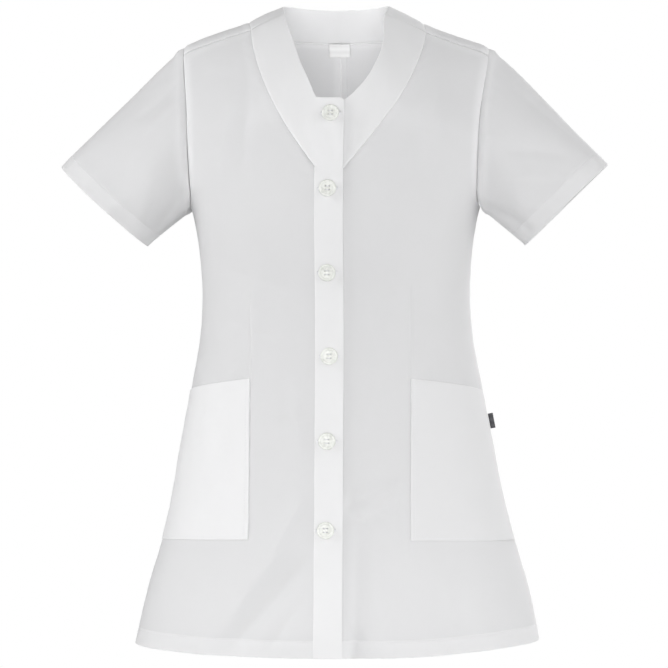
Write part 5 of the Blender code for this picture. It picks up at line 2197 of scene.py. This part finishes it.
@dataclass
class Studio:
    """A pale paper floor, soft light from all round, and the photograph's camera.

    The air is white to the camera, and gives off only the share of its light that air says.
    """

    floor_z: float = -0.95
    floor_radius: float = 1.0
    paper: str = "#DEDEDE"
    paper_shade: str = "#DBDBDB"
    paper_mm: float = 1000 / 3
    sensor: float = 36.0
    camera_distance: float = 3.0
    camera_turn: float = 4.0
    camera_z: float = -0.392
    frame_px: float = 668.0
    focal_px: float = 2500.0
    shift_px: float = -2.0
    air: float = 0.03
    lamps: tuple[Lamp, ...] = (
        Lamp("front", (0.0, -3.4, -0.6), 2.0, 81.0),
        Lamp("left", (-2.8, -0.8, 0.8), 2.0, 65.0),
        Lamp("right", (2.8, -0.7, 0.6), 2.0, 39.0),
        Lamp("right_front", (2.2, -2.2, 0.1), 2.0, 13.0),
        Lamp("high", (0.0, -1.6, 1.5), 1.0, 2.5),
        Lamp("behind", (1.1, 2.0, 0.7), 2.0, 60.0),
        Lamp("inside", (0.0, -0.02, -0.22), 0.2, 0.15, (0.0, 0.13, -0.05)),
    )

    def paper_material(self) -> Material:
        """Matt background paper with a trace of unevenness."""
        material, tree, shader = shader_of("background_paper")
        grain = clouds(tree, object_place(tree), self.paper_mm)
        tone = two_tones(tree, grain, self.paper_shade, self.paper)
        fill(tree, shader, {"Base Color": tone, "Roughness": 0.95})
        return material

    def floor(self) -> None:
        """A round sheet of paper below the tunic."""
        bm = bmesh.new()
        bmesh.ops.create_circle(
            bm,
            cap_ends=True,
            segments=96,
            radius=self.floor_radius,
            matrix=Matrix.Translation((0.0, 0.0, self.floor_z)),
        )
        linked("floor", mesh_of(bm, "floor"), self.paper_material())

    def surroundings(self) -> None:
        """A white studio that gives off only a little of the light."""
        world = bpy.data.worlds.new("studio")
        bpy.context.scene.world = world
        world.use_nodes = True
        tree = world.node_tree
        seen = add_node(tree, "ShaderNodeLightPath").outputs["Is Camera Ray"]
        strength = maths(tree, "MULTIPLY_ADD", seen, 1.0 - self.air, self.air)
        fill(tree, tree.nodes["Background"], {"Color": linear("#FFFFFF"), "Strength": strength})

    def light(self, lamp: Lamp) -> None:
        """Hangs one soft light."""
        data = bpy.data.lights.new(lamp.name, "AREA")
        data.shape, data.size, data.energy = "SQUARE", lamp.size, lamp.power
        holder = bpy.data.objects.new(lamp.name, data)
        holder.location = lamp.place
        holder.visible_camera = False
        aim = Vector(lamp.aim) - Vector(lamp.place)
        holder.rotation_euler = aim.to_track_quat("-Z", "Y").to_euler()
        show(holder)

    def camera(self) -> None:
        """The camera, level with the middle of the tunic and a few degrees to its wearer's left."""
        lens = bpy.data.cameras.new("camera")
        lens.sensor_width = self.sensor
        lens.lens = self.sensor * self.focal_px / self.frame_px
        lens.shift_x = self.shift_px / self.frame_px
        holder = bpy.data.objects.new("camera", lens)
        turn = math.radians(self.camera_turn)
        holder.location = (
            self.camera_distance * math.sin(turn),
            -self.camera_distance * math.cos(turn),
            self.camera_z,
        )
        holder.rotation_euler = (math.radians(90), 0.0, turn)
        show(holder)
        bpy.context.scene.camera = holder

    def build(self) -> None:
        """Makes the floor, the lights and the camera."""
        self.floor()
        for lamp in self.lamps:
            self.light(lamp)
        self.surroundings()
        bpy.context.scene.view_settings.view_transform = "Standard"
        self.camera()


# ---- putting it together


def main() -> None:
    """Builds every sub-assembly in order and reports it."""
    logging.basicConfig(level=logging.INFO, format="%(name)s: %(message)s")
    form, finishes = Form(), Finishes()
    cuts = Cuts(form)
    body = Body(form, cuts, finishes)
    grids = body.build()
    Sleeves(form, cuts, finishes).build()
    strip = FrontStrip(form, cuts, body, finishes)
    strip_cloth = strip.build_strip()
    strip.build_bands()
    Pockets(form, cuts, body, finishes).build()
    Buttons(form, finishes, strip_cloth).build()
    InsideBack(form, finishes, grids["back_left"]).build()
    SideTab(form, finishes).build()
    Studio().build()


if __name__ == "__main__":
    main()
